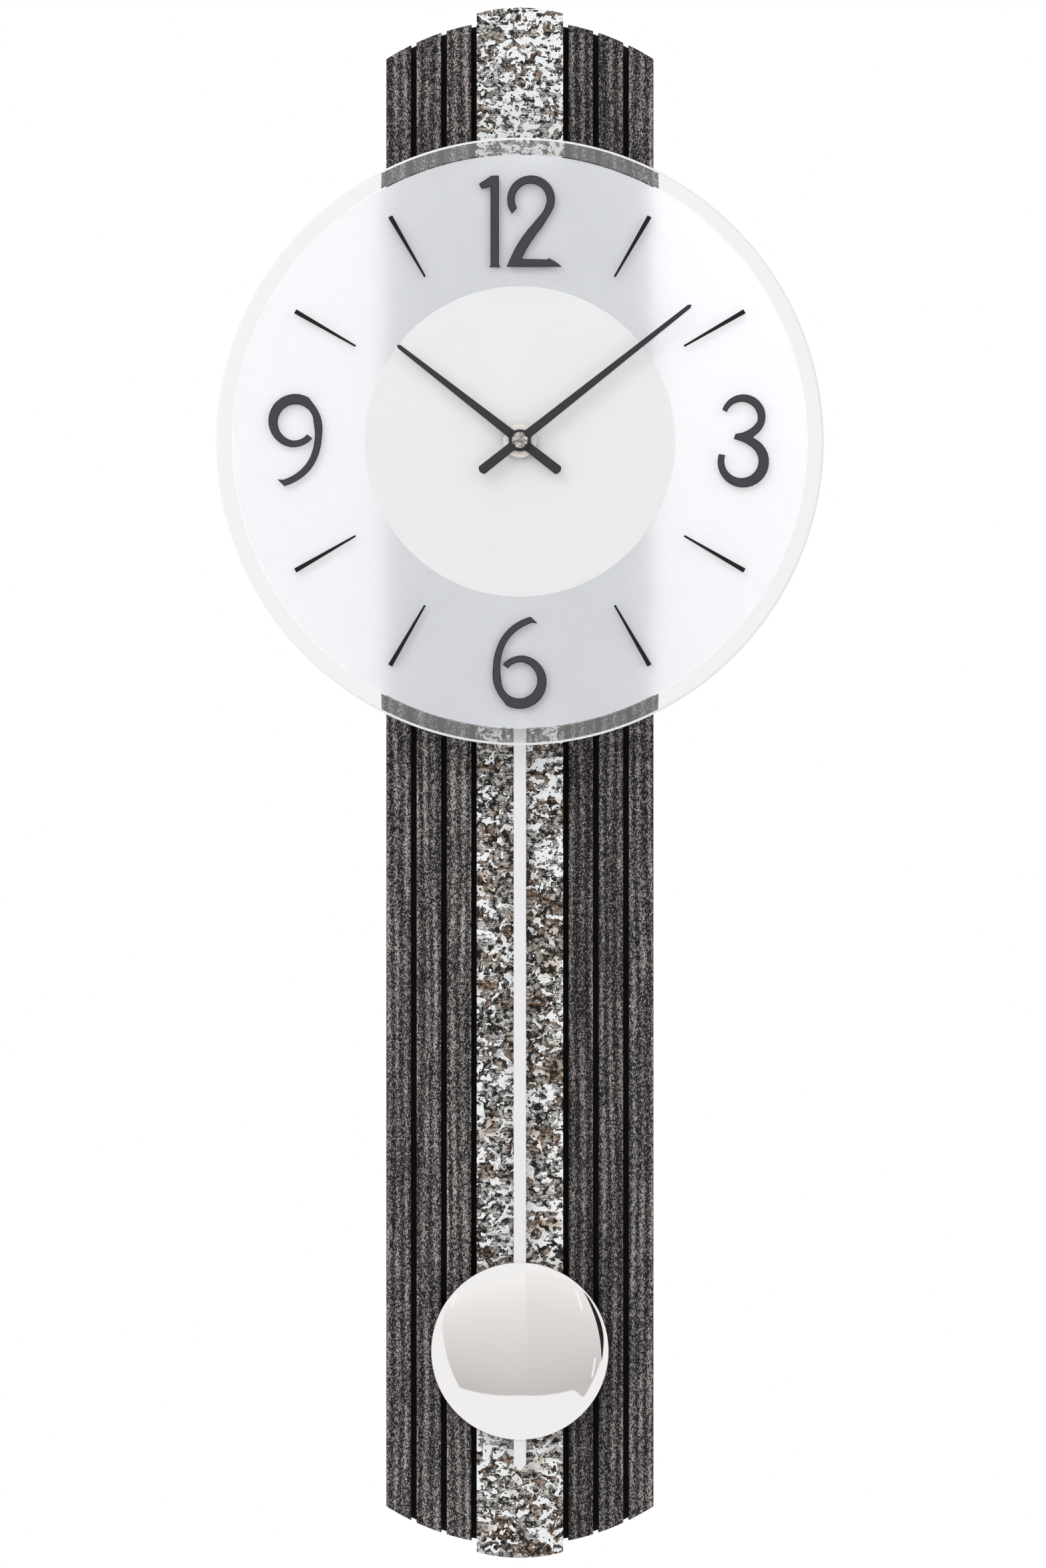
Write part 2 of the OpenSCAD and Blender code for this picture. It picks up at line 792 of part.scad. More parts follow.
module rotor() {
    color(white_colour) on_dial(rotor_at) {
        pinion(rotor_mod, rotor_pinion_teeth,
            mesh_turn(step_at, rotor_at, train_teeth, rotor_pinion_teeth), rotor_pinion_d);
        disc(rotor_magnet_r, rotor_pinion_d[1] + 0.4, 34.2);
        disc(1, rotor_pinion_d[1], rotor_pinion_d[1] + 0.4);
        thin_arbor();
    }
}

module intermediate_wheel() {
    color(white_colour) on_dial(step_at) {
        gear(rotor_mod, train_teeth, wheel_add, step_wheel_d);
        pinion(seconds_mod, step_pinion_teeth,
            mesh_turn(seconds_at, step_at, train_teeth, step_pinion_teeth), step_pinion_d);
        thin_arbor();
    }
}

module seconds_wheel() {
    color(white_colour) on_dial(seconds_at) {
        gear(seconds_mod, train_teeth, wheel_add, seconds_wheel_d);
        pinion(third_mod, seconds_pinion_teeth,
            mesh_turn(third_at, seconds_at, train_teeth, seconds_pinion_teeth),
            seconds_pinion_d);
        thin_arbor();
    }
}

module third_wheel() {
    color(white_colour) on_dial(third_at) {
        gear(third_mod, train_teeth, wheel_add, third_wheel_d);
        pinion(third_mod, third_pinion_teeth,
            mesh_turn(centre_at, third_at, centre_teeth, third_pinion_teeth), third_pinion_d);
        thin_arbor();
    }
}

// Centre wheel, which slips on the minute arbor when the hands are set
module centre_wheel() {
    color(white_colour) on_dial() difference() {
        gear(third_mod, centre_teeth, wheel_add, centre_wheel_d);
        disc(minute_r + fit, centre_wheel_d[0] - cut, centre_wheel_d[1] + cut);
    }
}

module minute_arbor() {
    color(silver_colour) on_dial() {
        disc(minute_pivot_r, arbor_back, 34.2);
        disc(2.6, 34.15, 34.8);
        disc(minute_r, 34.8, cap_d + arbor_in_cap);
        pinion(hand_mod, cannon_teeth,
            mesh_turn(minute_at, centre_at, minute_teeth, cannon_teeth), cannon_pinion_d);
    }
}

module minute_wheel() {
    color(white_colour) on_dial(minute_at) {
        gear(hand_mod, minute_teeth, wheel_add, minute_wheel_d);
        pinion(hour_mod, hour_pinion_teeth,
            mesh_turn(centre_at, minute_at, hour_teeth, hour_pinion_teeth), minute_pinion_d);
        disc(arbor_r, 15, 42);
        disc(pivot_r, 42, case_front - 0.2);
    }
}

hour_pipe_bore = 1.58;
module hour_wheel() {
    color(white_colour) on_dial() difference() {
        union() {
            gear(hour_mod, hour_teeth, wheel_add, hour_wheel_d);
            disc(2.5, 41.3, hour_hand_d + hand_t);
        }
        disc(hour_pipe_bore, 41, hour_hand_d + 2);
    }
}

knob_r = 6;
knob_back = 14.6;
knob_front = 19.4;
knob_flutes = 12;
module setting_knob() {
    color(white_colour) on_dial(minute_at) difference() {
        disc(knob_r, knob_back, knob_front);
        disc(arbor_r, knob_back - cut, knob_front + cut);
        for (i = [1:knob_flutes]) rotate([0, 360 / knob_flutes * i, 0])
            translate([knob_r + 0.3, 0, 0]) disc(0.8, knob_back - cut, knob_front + cut);
    }
}

// Pendulum drive
lever_w = 7;
hook_r = 1.2;
hook_head_r = 2.2;
module pendulum_lever() {
    color(white_colour) on_dial() difference() {
        union() {
            slab(lever_back, lever_front) {
                span(-lever_w / 2, lever_w / 2, hook_at[1], lever_at[1]);
                translate(magnet_at) circle(magnet_r + 2);
                translate(hook_at) circle(lever_w / 2);
            }
            translate([lever_at[0], 0, lever_at[1]]) disc(3, 24, 28.2);
            translate([hook_at[0], 0, hook_at[1]]) {
                disc(hook_r, lever_front, hanger_front + 0.3);
                disc(hook_head_r, hanger_front + 0.3, hanger_front + 1.1);
            }
        }
        translate([lever_at[0], 0, lever_at[1]]) disc(arbor_r + fit, 23, 30);
        translate([magnet_at[0], 0, magnet_at[1]]) disc(magnet_r, 25, 28);
    }
}

module lever_pin() {
    color(silver_colour) on_dial(lever_at) disc(arbor_r, back_case_d, front_case_d);
}

module drive_magnet() {
    color("#9b9da3") on_dial(magnet_at) disc(magnet_r, 25, lever_front);
}

drive_coil_r = 7;
drive_core_r = 2.5;
drive_coil_front = 24;
module drive_coil() {
    color(copper_colour) on_dial(magnet_at) difference() {
        disc(drive_coil_r, back_case_d + case_wall, drive_coil_front);
        disc(drive_core_r, back_case_d + case_wall - cut, drive_coil_front + cut);
    }
}

// Pendulum
rod_tip = -bob_drop - rod_below;
tip_cut = 2.4;
rivet_r = 0.8;
hanger_rivet_z = [-65, -68];
module pendulum_rod() {
    color(silver_colour) on_dial() difference() {
        slab(rod_back, rod_front) polygon([[-rod_w / 2, rod_top], [-rod_w / 2, rod_tip + tip_cut],
            [-0.4, rod_tip], [0.4, rod_tip], [rod_w / 2, rod_tip + tip_cut],
            [rod_w / 2, rod_top]]);
        for (z = hanger_rivet_z) translate([0, 0, z]) disc(rivet_r, rod_back - cut, rod_front + cut);
    }
}

// Plate with a keyhole that hooks the rod on the lever's headed pin
module rod_hanger() {
    color(silver_colour) on_dial() difference() {
        slab(hanger_back, hanger_front) translate([0, -60.75]) round_rect(9, 18.5, 1.5);
        slab(hanger_back - cut, hanger_front + cut) translate([0, hook_at[1] - rod_lift]) {
            slot(hook_r + fit, rod_lift);
            circle(hook_head_r + 0.2);
        }
        for (z = hanger_rivet_z) translate([0, 0, z])
            disc(rivet_r, hanger_back - cut, hanger_front + cut);
    }
}

module hanger_rivets() {
    color(silver_colour) for (z = hanger_rivet_z) on_dial([0, z]) {
        disc(rivet_r, hanger_back, rod_front);
        disc(1.4, rod_front, rod_front + 0.5);
    }
}

// Domed front of the bob, hollow, with a short skirt round the back plate
dome_r = (bob_r * bob_r + bob_dome * bob_dome) / 2 / bob_dome;
module bob_shell() {
    apex = bob_rim + bob_dome;
    color("#c9ccd2") on_dial([0, -bob_drop]) rotate([90, 0, 0]) rotate_extrude($fn = 180)
        difference() {
            intersection() {
                translate([0, apex - dome_r]) circle(dome_r, $fn = 360);
                translate([0, bob_back]) square([bob_r, apex]);
            }
            intersection() {
                translate([0, apex - dome_r]) circle(dome_r - bob_skin, $fn = 360);
                translate([-cut, bob_back - cut]) square([bob_r - bob_skin + cut, apex]);
            }
        }
}

bob_plate_r = bob_r - bob_skin - 0.1;
clip_rivet_x = 7.6;
module bob_back_plate() {
    color("#b9bcc2") on_dial([0, -bob_drop]) difference() {
        disc(bob_plate_r, bob_back, bob_back + bob_plate_t);
        for (x = [-1, 1]) translate([x * clip_rivet_x, 0, 0])
            disc(rivet_r, bob_back - cut, bob_back + bob_plate_t + cut);
    }
}

// Spring clip that grips the rod against the back plate
clip_half_h = 6;
clip_in = rod_w / 2 + 0.1;
clip_out = 10;
clip_back = rod_back - fit - clip_t;
clip_half = [[clip_in + clip_t, clip_back], [clip_in + clip_t, bob_back - clip_t],
    [clip_out, bob_back - clip_t], [clip_out, bob_back], [clip_in, bob_back],
    [clip_in, clip_back + clip_t]];
module bob_clip() {
    color(silver_colour) on_dial([0, -bob_drop]) difference() {
        translate([0, 0, -clip_half_h]) linear_extrude(2 * clip_half_h) polygon(concat(
            [for (p = clip_half) [p[0], -p[1]]],
            [for (i = [len(clip_half) - 1:-1:0]) [-clip_half[i][0], -clip_half[i][1]]]));
        for (x = [-1, 1]) translate([x * clip_rivet_x, 0, 0])
            disc(rivet_r, bob_back - 2 * clip_t, bob_back + cut);
    }
}

module clip_rivets() {
    color(silver_colour) for (x = [-1, 1]) on_dial([x * clip_rivet_x, -bob_drop]) {
        disc(1.3, bob_back - clip_t - 0.4, bob_back - clip_t);
        disc(rivet_r, bob_back - clip_t, bob_back + bob_plate_t);
    }
}

backboard();
slat_left_outer();
slat_left_middle();
slat_left_inner();
slat_right_inner();
slat_right_middle();
slat_right_outer();
strip_rail_upper();
strip_rail_lower();
stone_upper();
stone_lower();
hanger_plate();
hanger_screws();
wall_pads();
dial_carrier();
carrier_screws();
dial_glass();
dial_ring_print();
dial_centre_print();
glass_pads();
dial_nut();
numeral_12();
numeral_3();
numeral_6();
numeral_9();
hour_batons();
hour_hand();
minute_hand();
hand_cap();
movement_front_case();
movement_back_case();
gear_plate();
middle_plate();
battery();
battery_plus_contact();
battery_minus_contact();
circuit_board();
quartz_crystal();
motor_stator();
motor_coil();
rotor();
intermediate_wheel();
seconds_wheel();
third_wheel();
centre_wheel();
minute_arbor();
minute_wheel();
hour_wheel();
setting_knob();
pendulum_lever();
lever_pin();
drive_magnet();
drive_coil();
pendulum_rod();
rod_hanger();
hanger_rivets();
bob_shell();
bob_back_plate();
bob_clip();
clip_rivets();
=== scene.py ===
# %% [markdown]
# # Dressing a pendulum wall clock
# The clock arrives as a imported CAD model: sixty solids, each in its true place and on the body that moves it.
# This lesson turns them into a clock to look at. It goes from the camera and the light to the tools for making
# surfaces, then to the finishes, and last to the pieces themselves.
# Lengths are in metres. X runs to the right, Y back to the wall and Z up, with the wall at Y = 0.

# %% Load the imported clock
import json
import math

import bmesh
import bpy
import numpy as np
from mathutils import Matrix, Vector

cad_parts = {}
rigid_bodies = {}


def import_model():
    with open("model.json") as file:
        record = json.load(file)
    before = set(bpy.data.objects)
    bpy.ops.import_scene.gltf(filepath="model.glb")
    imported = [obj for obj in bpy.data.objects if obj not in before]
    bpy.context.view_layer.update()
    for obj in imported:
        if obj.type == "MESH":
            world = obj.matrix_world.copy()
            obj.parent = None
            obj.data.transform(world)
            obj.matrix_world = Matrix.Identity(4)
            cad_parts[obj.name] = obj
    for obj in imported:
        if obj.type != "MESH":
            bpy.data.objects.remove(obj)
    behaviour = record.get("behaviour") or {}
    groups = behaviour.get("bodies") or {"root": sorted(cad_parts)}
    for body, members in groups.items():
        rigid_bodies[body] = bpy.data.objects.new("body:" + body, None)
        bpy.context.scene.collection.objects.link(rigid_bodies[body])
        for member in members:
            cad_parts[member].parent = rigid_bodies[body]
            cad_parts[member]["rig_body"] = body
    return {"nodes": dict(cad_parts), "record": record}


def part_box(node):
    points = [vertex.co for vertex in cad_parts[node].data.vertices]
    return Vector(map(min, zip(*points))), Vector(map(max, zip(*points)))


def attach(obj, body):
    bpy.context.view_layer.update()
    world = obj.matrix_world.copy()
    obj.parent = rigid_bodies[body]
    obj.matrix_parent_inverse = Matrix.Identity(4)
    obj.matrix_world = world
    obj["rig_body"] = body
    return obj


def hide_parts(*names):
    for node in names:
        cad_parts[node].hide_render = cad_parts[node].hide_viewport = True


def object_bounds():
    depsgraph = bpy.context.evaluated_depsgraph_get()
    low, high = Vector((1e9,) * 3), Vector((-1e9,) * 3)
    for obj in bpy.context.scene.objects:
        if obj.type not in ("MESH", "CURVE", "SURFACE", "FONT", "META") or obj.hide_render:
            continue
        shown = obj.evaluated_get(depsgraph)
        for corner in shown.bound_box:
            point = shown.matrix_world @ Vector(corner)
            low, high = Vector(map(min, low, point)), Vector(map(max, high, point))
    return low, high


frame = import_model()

nodes = frame["nodes"]
slot_of = {part["node"]: part["material_slot"] for part in frame["record"]["subparts"]}
cad_low, cad_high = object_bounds()
print("the clock measures", [round(v, 4) for v in cad_high - cad_low], "m")

# %% [markdown]
# ## Where things are
# Everything later is placed by what the CAD says: the dial's centre is the middle of the glass, and a depth is
# a distance from the wall towards the viewer, so it is minus Y. Reading these from the boxes keeps the lesson
# true if the clock is ever made a little larger.

# %% Named places
MM = 0.001


def depths(node):
    """The nearest and furthest distance of a CAD node from the wall."""
    low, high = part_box(node)
    return -high.y, -low.y


def middle(node):
    """The middle of a CAD node's box."""
    low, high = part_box(node)
    return (low + high) / 2


def half_width(node):
    """Half the width of a CAD node's box, which is the radius of a round part."""
    low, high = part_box(node)
    return (high.x - low.x) / 2


dial_z = middle("dial_glass").z
stone_front = depths("stone_lower")[1]
print("dial centre at height", round(dial_z, 4), "and stone face", round(stone_front, 4), "from the wall")

# %% [markdown]
# ## The camera
# The clock was photographed from straight in front and about 2.2 m away: the dial, which stands 28 mm forward
# of the stone, looks 1.3 % larger than it is. The picture is 708 mm high at the stone. A lens's length follows
# from similar triangles: the sensor's long side is to the lens as the picture's height is to the distance.

# %% Camera
CAMERA_DISTANCE = 2.2
PICTURE_HEIGHT = 0.708
PICTURE_MIDDLE = (0.0014, -0.2729)
SENSOR = 36.0

camera_data = bpy.data.cameras.new("straight_on")
camera_data.sensor_fit = "AUTO"
camera_data.sensor_width = SENSOR
camera_data.lens = SENSOR * CAMERA_DISTANCE / PICTURE_HEIGHT
camera_data.clip_start, camera_data.clip_end = 0.05, 50
camera = bpy.data.objects.new("straight_on", camera_data)
camera.location = (PICTURE_MIDDLE[0], -stone_front - CAMERA_DISTANCE, PICTURE_MIDDLE[1])
camera.rotation_euler = (math.pi / 2, 0, 0)
bpy.context.scene.collection.objects.link(camera)
bpy.context.scene.camera = camera
bpy.context.scene.view_settings.view_transform = "Standard"
print("lens", round(camera_data.lens, 1), "mm")

# %% [markdown]
# ## Small tools for node trees
# A shader is a graph, and a graph written line by line soon gets long. Three short helpers fill or link a
# node's inputs, place a node in a tree, and place one in the tree that its inputs come from. The others wrap
# the nodes that are used most, so that a formula reads as one.

# %% Node helpers
def fill(made, inputs):
    """Links or types in each input of a node, by name or by number. A colour is typed as three numbers."""
    for key, value in inputs.items():
        socket = made.inputs[key]
        if isinstance(value, bpy.types.NodeSocket):
            made.id_data.links.new(value, socket)
        else:
            socket.default_value = (*value, 1.0) if socket.type == "RGBA" else value


def put(tree, kind, inputs=None, **settings):
    """Places a node in a tree. A socket among the inputs is linked, any other value is typed in."""
    made = tree.nodes.new(kind)
    for key, value in settings.items():
        setattr(made, key, value)
    fill(made, inputs or {})
    return made


def fed(kind, inputs, **settings):
    """Places a node in the tree that its linked inputs come from."""
    tree = next(value.id_data for value in inputs.values() if isinstance(value, bpy.types.NodeSocket))
    return put(tree, kind, inputs, **settings)


def maths(operation, *values, clamp=False):
    """The result of a Math node, such as maths("POWER", a, b)."""
    inputs = dict(enumerate(values))
    return fed("ShaderNodeMath", inputs, operation=operation, use_clamp=clamp).outputs[0]


def minus(value, other, clamp=False):
    """One value less another."""
    return maths("SUBTRACT", value, other, clamp=clamp)


def away(value, level):
    """The distance between a value and a level."""
    return maths("ABSOLUTE", minus(value, level))


def sloped(value, slope, level, clamp=False):
    """The straight line slope * value + level."""
    return maths("MULTIPLY_ADD", value, slope, level, clamp=clamp)


def times(first, *more):
    """The product of several values."""
    for value in more:
        first = maths("MULTIPLY", first, value)
    return first


def greatest(first, *more):
    """The largest of several values."""
    for value in more:
        first = maths("MAXIMUM", first, value)
    return first


def rise(value, start, end, low=0.0, high=1.0):
    """A smooth step: low up to start, high from end on, with an S-shaped change between."""
    inputs = {"Value": value, "From Min": start, "From Max": end, "To Min": low, "To Max": high}
    return fed("ShaderNodeMapRange", inputs, interpolation_type="SMOOTHSTEP").outputs[0]


def inside(value, start, end, soft):
    """1 where a value is between start and end, with edges of a given softness, and 0 elsewhere."""
    return times(rise(value, start, start + soft), rise(value, end, end - soft))


def blend(share, first, second):
    """First colour at share 0, second at share 1."""
    inputs = {0: share, 6: first, 7: second}
    return fed("ShaderNodeMix", inputs, data_type="RGBA").outputs[2]


def vectors(operation, *values):
    """The result of a Vector Math node: a number for LENGTH and DOT_PRODUCT, otherwise a vector."""
    made = fed("ShaderNodeVectorMath", dict(enumerate(values)), operation=operation)
    return made.outputs["Value" if operation in ("LENGTH", "DOT_PRODUCT") else "Vector"]


def scaled(vector, factors):
    """A vector times another, part by part."""
    return vectors("MULTIPLY", vector, factors)


def xyz(vector):
    """The three parts of a vector."""
    return fed("ShaderNodeSeparateXYZ", {0: vector}).outputs


def noise(vector, scale, detail=2.0, roughness=0.5, output=0):
    """A Noise texture's value, or its colour with output 1."""
    inputs = {"Vector": vector, "Scale": scale, "Detail": detail, "Roughness": roughness}
    return fed("ShaderNodeTexNoise", inputs).outputs[output]


# %% [markdown]
# ## Light and background
# A product picture has a white ground and light that comes from everywhere, a little stronger from above left.
# The world does most of this. Light Path tells what kind of ray asks: the camera, and rays that come through
# glass, see plain white. Diffuse surfaces get a softer light, to which the lamps add the direction. Mirrors
# see a room, because polished metal in a white void would look like paper: a pale grey wall behind the camera,
# lighter towards the top, with a white floor below it and a narrow dark door at its right.
# The wall is drawn by central projection: a direction (x, y, z) meets it at x / -y across and z / -y up. Its
# sides are straight lines that bend once, as sloped() and below() draw them.
# Lamps can't shine through glass, so what lies behind the dial would lose their share. The world makes it up
# for the rays that a matt surface sends out through glass.

# %% World
world = bpy.data.worlds.new("studio")
world.use_nodes = True
bpy.context.scene.world = world
sky = world.node_tree
sky.nodes.clear()
look = xyz(put(sky, "ShaderNodeTexCoord").outputs["Generated"])
ahead = greatest(times(look[1], -1.0), 0.02)
across = maths("DIVIDE", look[0], ahead)
up = maths("DIVIDE", look[2], ahead)
aside = maths("ABSOLUTE", across)

# %% Walls of the mirrored room
ROOM_WHITE = (0.905, 0.895, 0.89)
WALL_LOW = (0.565, 0.545, 0.54)
WALL_HIGH = (0.93, 0.905, 0.895)
WALL_LEFT, LEFT_BEND = -1.58, 0.34
WALL_RIGHT, RIGHT_BEND = 1.60, -0.38
WALL_HEAD = 1.32
DOOR_FOOT, DOOR_HEAD = -0.5, 1.15
ROOM_DOOR = (0.02, 0.02, 0.02)
ROOM_LIGHT = (0.98, 0.98, 0.975)
LIGHT_STREAKS = ((-1.31, 0.6, 0.95), (1.08, 0.5, 1.0), (1.4, -0.76, -0.3))


def below(level):
    """How far the direction is below a level, and 0 above it."""
    return greatest(minus(level, up), 0.0)


left_of_middle = rise(across, 0.11, 0.07)
left_edge = sloped(below(LEFT_BEND), 0.42, WALL_LEFT)
right_edge = sloped(greatest(up, RIGHT_BEND), -0.25, WALL_RIGHT)
right_edge = sloped(below(RIGHT_BEND), -0.45, right_edge)
foot = sloped(aside, -0.09, rise(across, 0.84, 1.36, -0.74, -1.06))
head = sloped(left_of_middle, sloped(aside, -0.2, -0.18), WALL_HEAD)
in_from_right = minus(right_edge, across)
wall = times(rise(minus(across, left_edge), 0.0, 0.04), rise(in_from_right, 0.0, 0.03),
             rise(minus(up, foot), 0.0, 0.03), rise(minus(head, up), 0.0, 0.16))
door_width = rise(up, DOOR_FOOT, 0.2, -0.05, -0.24)
door = times(rise(in_from_right, 0.01, -0.01), inside(up, DOOR_FOOT, DOOR_HEAD, 0.2),
             rise(minus(in_from_right, door_width), -0.02, 0.02))
height_share = times(sloped(up, 0.59, 0.41, clamp=True), sloped(left_of_middle, 0.2, 0.8))
room = blend(wall, ROOM_WHITE, blend(height_share, WALL_LOW, WALL_HIGH))
room = blend(door, room, ROOM_DOOR)
for streak_across, streak_foot, streak_head in LIGHT_STREAKS:
    streak = times(rise(away(across, streak_across), 0.045, 0.02),
                   rise(up, streak_foot, streak_foot + 0.1), rise(up, streak_head, streak_head - 0.02))
    room = blend(streak, room, ROOM_LIGHT)
behind_clock = blend(rise(look[2], -0.5, 0.6), WALL_LOW, WALL_HIGH)
room = blend(rise(look[1], 0.02, 0.2), room, behind_clock)
print("room drawn with", len(sky.nodes), "nodes")

# %% Which ray sees what
WHITE = (1.0, 1.0, 1.0)
SOFT_LIGHT = 0.65
BEHIND_GLASS = 0.77
ray = put(sky, "ShaderNodeLightPath").outputs
mirrored = minus(ray["Is Glossy Ray"], ray["Is Transmission Ray"], clamp=True)
seen = greatest(ray["Is Camera Ray"], ray["Is Transmission Ray"], mirrored)
strength = sloped(seen, 1.0 - SOFT_LIGHT, SOFT_LIGHT)
behind_glass = times(ray["Is Transmission Ray"], maths("GREATER_THAN", ray["Diffuse Depth"], 0.5))
strength = sloped(behind_glass, BEHIND_GLASS, strength)
background = fed("ShaderNodeBackground", {"Color": blend(mirrored, WHITE, room), "Strength": strength})
fed("ShaderNodeOutputWorld", {"Surface": background.outputs[0]})
print("world ready, soft light", SOFT_LIGHT)

# %% [markdown]
# ## Lamps
# Each lamp is a wide panel, so its shadows are soft. A panel of power P at distance D lights a facing surface
# of colour c to about c P / (pi pi D D). That formula gives the power for the share of light each should add.
# The key comes from above left, the fill from the right, and the third lights the back for views from behind.
# Mirrors don't see the lamps: their room is the world's.

# %% Lamps
LAMPS = {
    "key_panel": ((-1.3, -2.3, 1.3), 2.0, 0.36),
    "fill_panel": ((1.9, -1.9, -0.1), 1.6, 0.11),
    "back_panel": ((0.9, 2.2, 1.2), 2.0, 0.28),
}
aim = Vector((0.0, 0.0, PICTURE_MIDDLE[1]))
for lamp_name, (place, width, share) in LAMPS.items():
    lamp_data = bpy.data.lights.new(lamp_name, "AREA")
    lamp_data.shape = "SQUARE"
    lamp_data.size = width
    distance = (aim - Vector(place)).length
    lamp_data.energy = share * math.pi ** 2 * distance ** 2
    lamp = bpy.data.objects.new(lamp_name, lamp_data)
    lamp.location = place
    lamp.rotation_euler = (aim - Vector(place)).to_track_quat("-Z", "Y").to_euler()
    lamp.visible_glossy = False
    bpy.context.scene.collection.objects.link(lamp)
    print(lamp_name, round(lamp_data.energy, 1), "W")

# %% [markdown]
# ## The floor
# The clock hangs above a pale floor. Near its middle the floor is a plain white surface that keeps the clock's
# soft shadow, and further out it turns into the background's white, so that no horizon shows. From below it is
# clear, because a floor that hid the clock would be of no use.

# %% Floor
FLOOR_DROP = 0.1
FLOOR_SIZE = 6.0
FLOOR_WHITE = (0.93, 0.93, 0.93)
floor_z = cad_low.z - FLOOR_DROP
floor_mesh = bpy.data.meshes.new("floor")
corners = np.array([(-1, -1), (1, -1), (1, 1), (-1, 1)]) * FLOOR_SIZE / 2
floor_mesh.from_pydata([(x, y, floor_z) for x, y in corners], [], [(0, 1, 2, 3)])
floor = bpy.data.objects.new("floor", floor_mesh)
bpy.context.scene.collection.objects.link(floor)
floor.visible_glossy = False

floor_finish = bpy.data.materials.new("floor_white")
floor_finish.use_nodes = True
tree = floor_finish.node_tree
tree.nodes.clear()
spot = put(tree, "ShaderNodeTexCoord").outputs["Object"]
far = rise(vectors("LENGTH", scaled(spot, (1, 1, 0))), 0.12, 0.5)
matt = put(tree, "ShaderNodeBsdfDiffuse", {"Color": FLOOR_WHITE}).outputs[0]
plain = put(tree, "ShaderNodeEmission", {"Color": WHITE, "Strength": 1.0}).outputs[0]
path = put(tree, "ShaderNodeLightPath").outputs
fade = times(far, greatest(path["Is Camera Ray"], path["Is Transmission Ray"]))
top = fed("ShaderNodeMixShader", {0: fade, 1: matt, 2: plain}).outputs[0]
clear = put(tree, "ShaderNodeBsdfTransparent").outputs[0]
under = put(tree, "ShaderNodeNewGeometry").outputs["Backfacing"]
both = fed("ShaderNodeMixShader", {0: under, 1: top, 2: clear}).outputs[0]
fed("ShaderNodeOutputMaterial", {"Surface": both})
floor_mesh.materials.append(floor_finish)
print("floor at height", round(floor_z, 3))

# %% [markdown]
# ## Tools for surfaces
# A surface here is an array of points worked out at once from two parameters, such as the angle round an axis
# and the place along a profile. The points are numbered row by row, so the faces are the same sum for every
# surface: a point, the one in the next row, that one's neighbour, and its own neighbour.
# Closing a disc needs no special case: the points on the axis are merged afterwards, and the quads there
# become triangles. Recalculated normals then point outwards.
# A piece takes its body from the CAD node that it stands for, and its finishes by name from one dictionary,
# which later cells fill before the first piece is made.

# %% Pieces from surfaces
finishes = {}


def grid_faces(rows, columns, loop_rows=False):
    """Quads of a grid whose columns close on themselves, and whose rows do too if loop_rows."""
    row, column = np.meshgrid(np.arange(rows if loop_rows else rows - 1), np.arange(columns), indexing="ij")
    row, after, beside = row * columns, (row + 1) % rows * columns, (column + 1) % columns
    quads = (row + column, after + column, after + beside, row + beside)
    return np.stack(quads, axis=-1).reshape(-1, 4).tolist()


def coat(mesh, coats):
    """Gives a mesh its finishes, by name."""
    mesh.materials.clear()
    for name in coats:
        mesh.materials.append(finishes[name])


def dress(piece, node, crease):
    """Gives a piece its CAD node's body, and smooth faces up to a crease angle."""
    piece.data.shade_smooth()
    piece.data.set_sharp_from_angle(angle=math.radians(crease))
    bpy.context.scene.collection.objects.link(piece)
    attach(piece, nodes[node]["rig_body"])
    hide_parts(node)
    return piece


def new_piece(name, points, faces, coats, node, crease=30):
    """Makes a piece from an array of points and a list of faces, merged, closed and facing outwards."""
    mesh = bpy.data.meshes.new(name)
    mesh.from_pydata(np.asarray(points).reshape(-1, 3), [], faces)
    work = bmesh.new()
    work.from_mesh(mesh)
    bmesh.ops.remove_doubles(work, verts=work.verts, dist=1e-7)
    bmesh.ops.recalc_face_normals(work, faces=work.faces)
    work.to_mesh(mesh)
    work.free()
    coat(mesh, coats)
    print(name, len(mesh.polygons), "faces")
    return dress(bpy.data.objects.new(name, mesh), node, crease)


def rounded(piece, width, sharpest, rim=-1):
    """Rounds the edges sharper than an angle. The new faces can take the finish numbered rim."""
    bevel = piece.modifiers.new("rounded", "BEVEL")
    bevel.width, bevel.segments, bevel.material = width, 2, rim
    bevel.limit_method, bevel.angle_limit = "ANGLE", math.radians(sharpest)
    bevel.harden_normals = True


# %% Turned forms
def turned_points(profile, centre, turns):
    """Points of a turned form about the depth axis. A profile point (radius r, depth d) goes to
    (x + r cos t, -d, z + r sin t) as t runs round a full turn."""
    radius, depth = np.asarray(profile, float).T
    turn = np.linspace(0, 2 * np.pi, turns, endpoint=False)
    across, upward = np.outer(radius, np.cos(turn)), np.outer(radius, np.sin(turn))
    back = np.broadcast_to(-depth[:, None], across.shape)
    return np.stack((centre[0] + across, back, centre[1] + upward), axis=-1)


def turned(name, profile, centre, coats, node, turns, crease=30):
    """A turned piece: a disc if the profile starts and ends on the axis, and a ring if it is a loop."""
    points = turned_points(profile, centre, turns)
    loop = profile[0][0] > 0
    return new_piece(name, points, grid_faces(len(profile), turns, loop), coats, node, crease)


def arc(centre, radius, start, end, steps):
    """Points (a + r cos t, b + r sin t) on an arc, with t from start to end in degrees."""
    t = np.radians(np.linspace(start, end, steps + 1))
    return np.stack((centre[0] + radius * np.cos(t), centre[1] + radius * np.sin(t)), axis=-1)


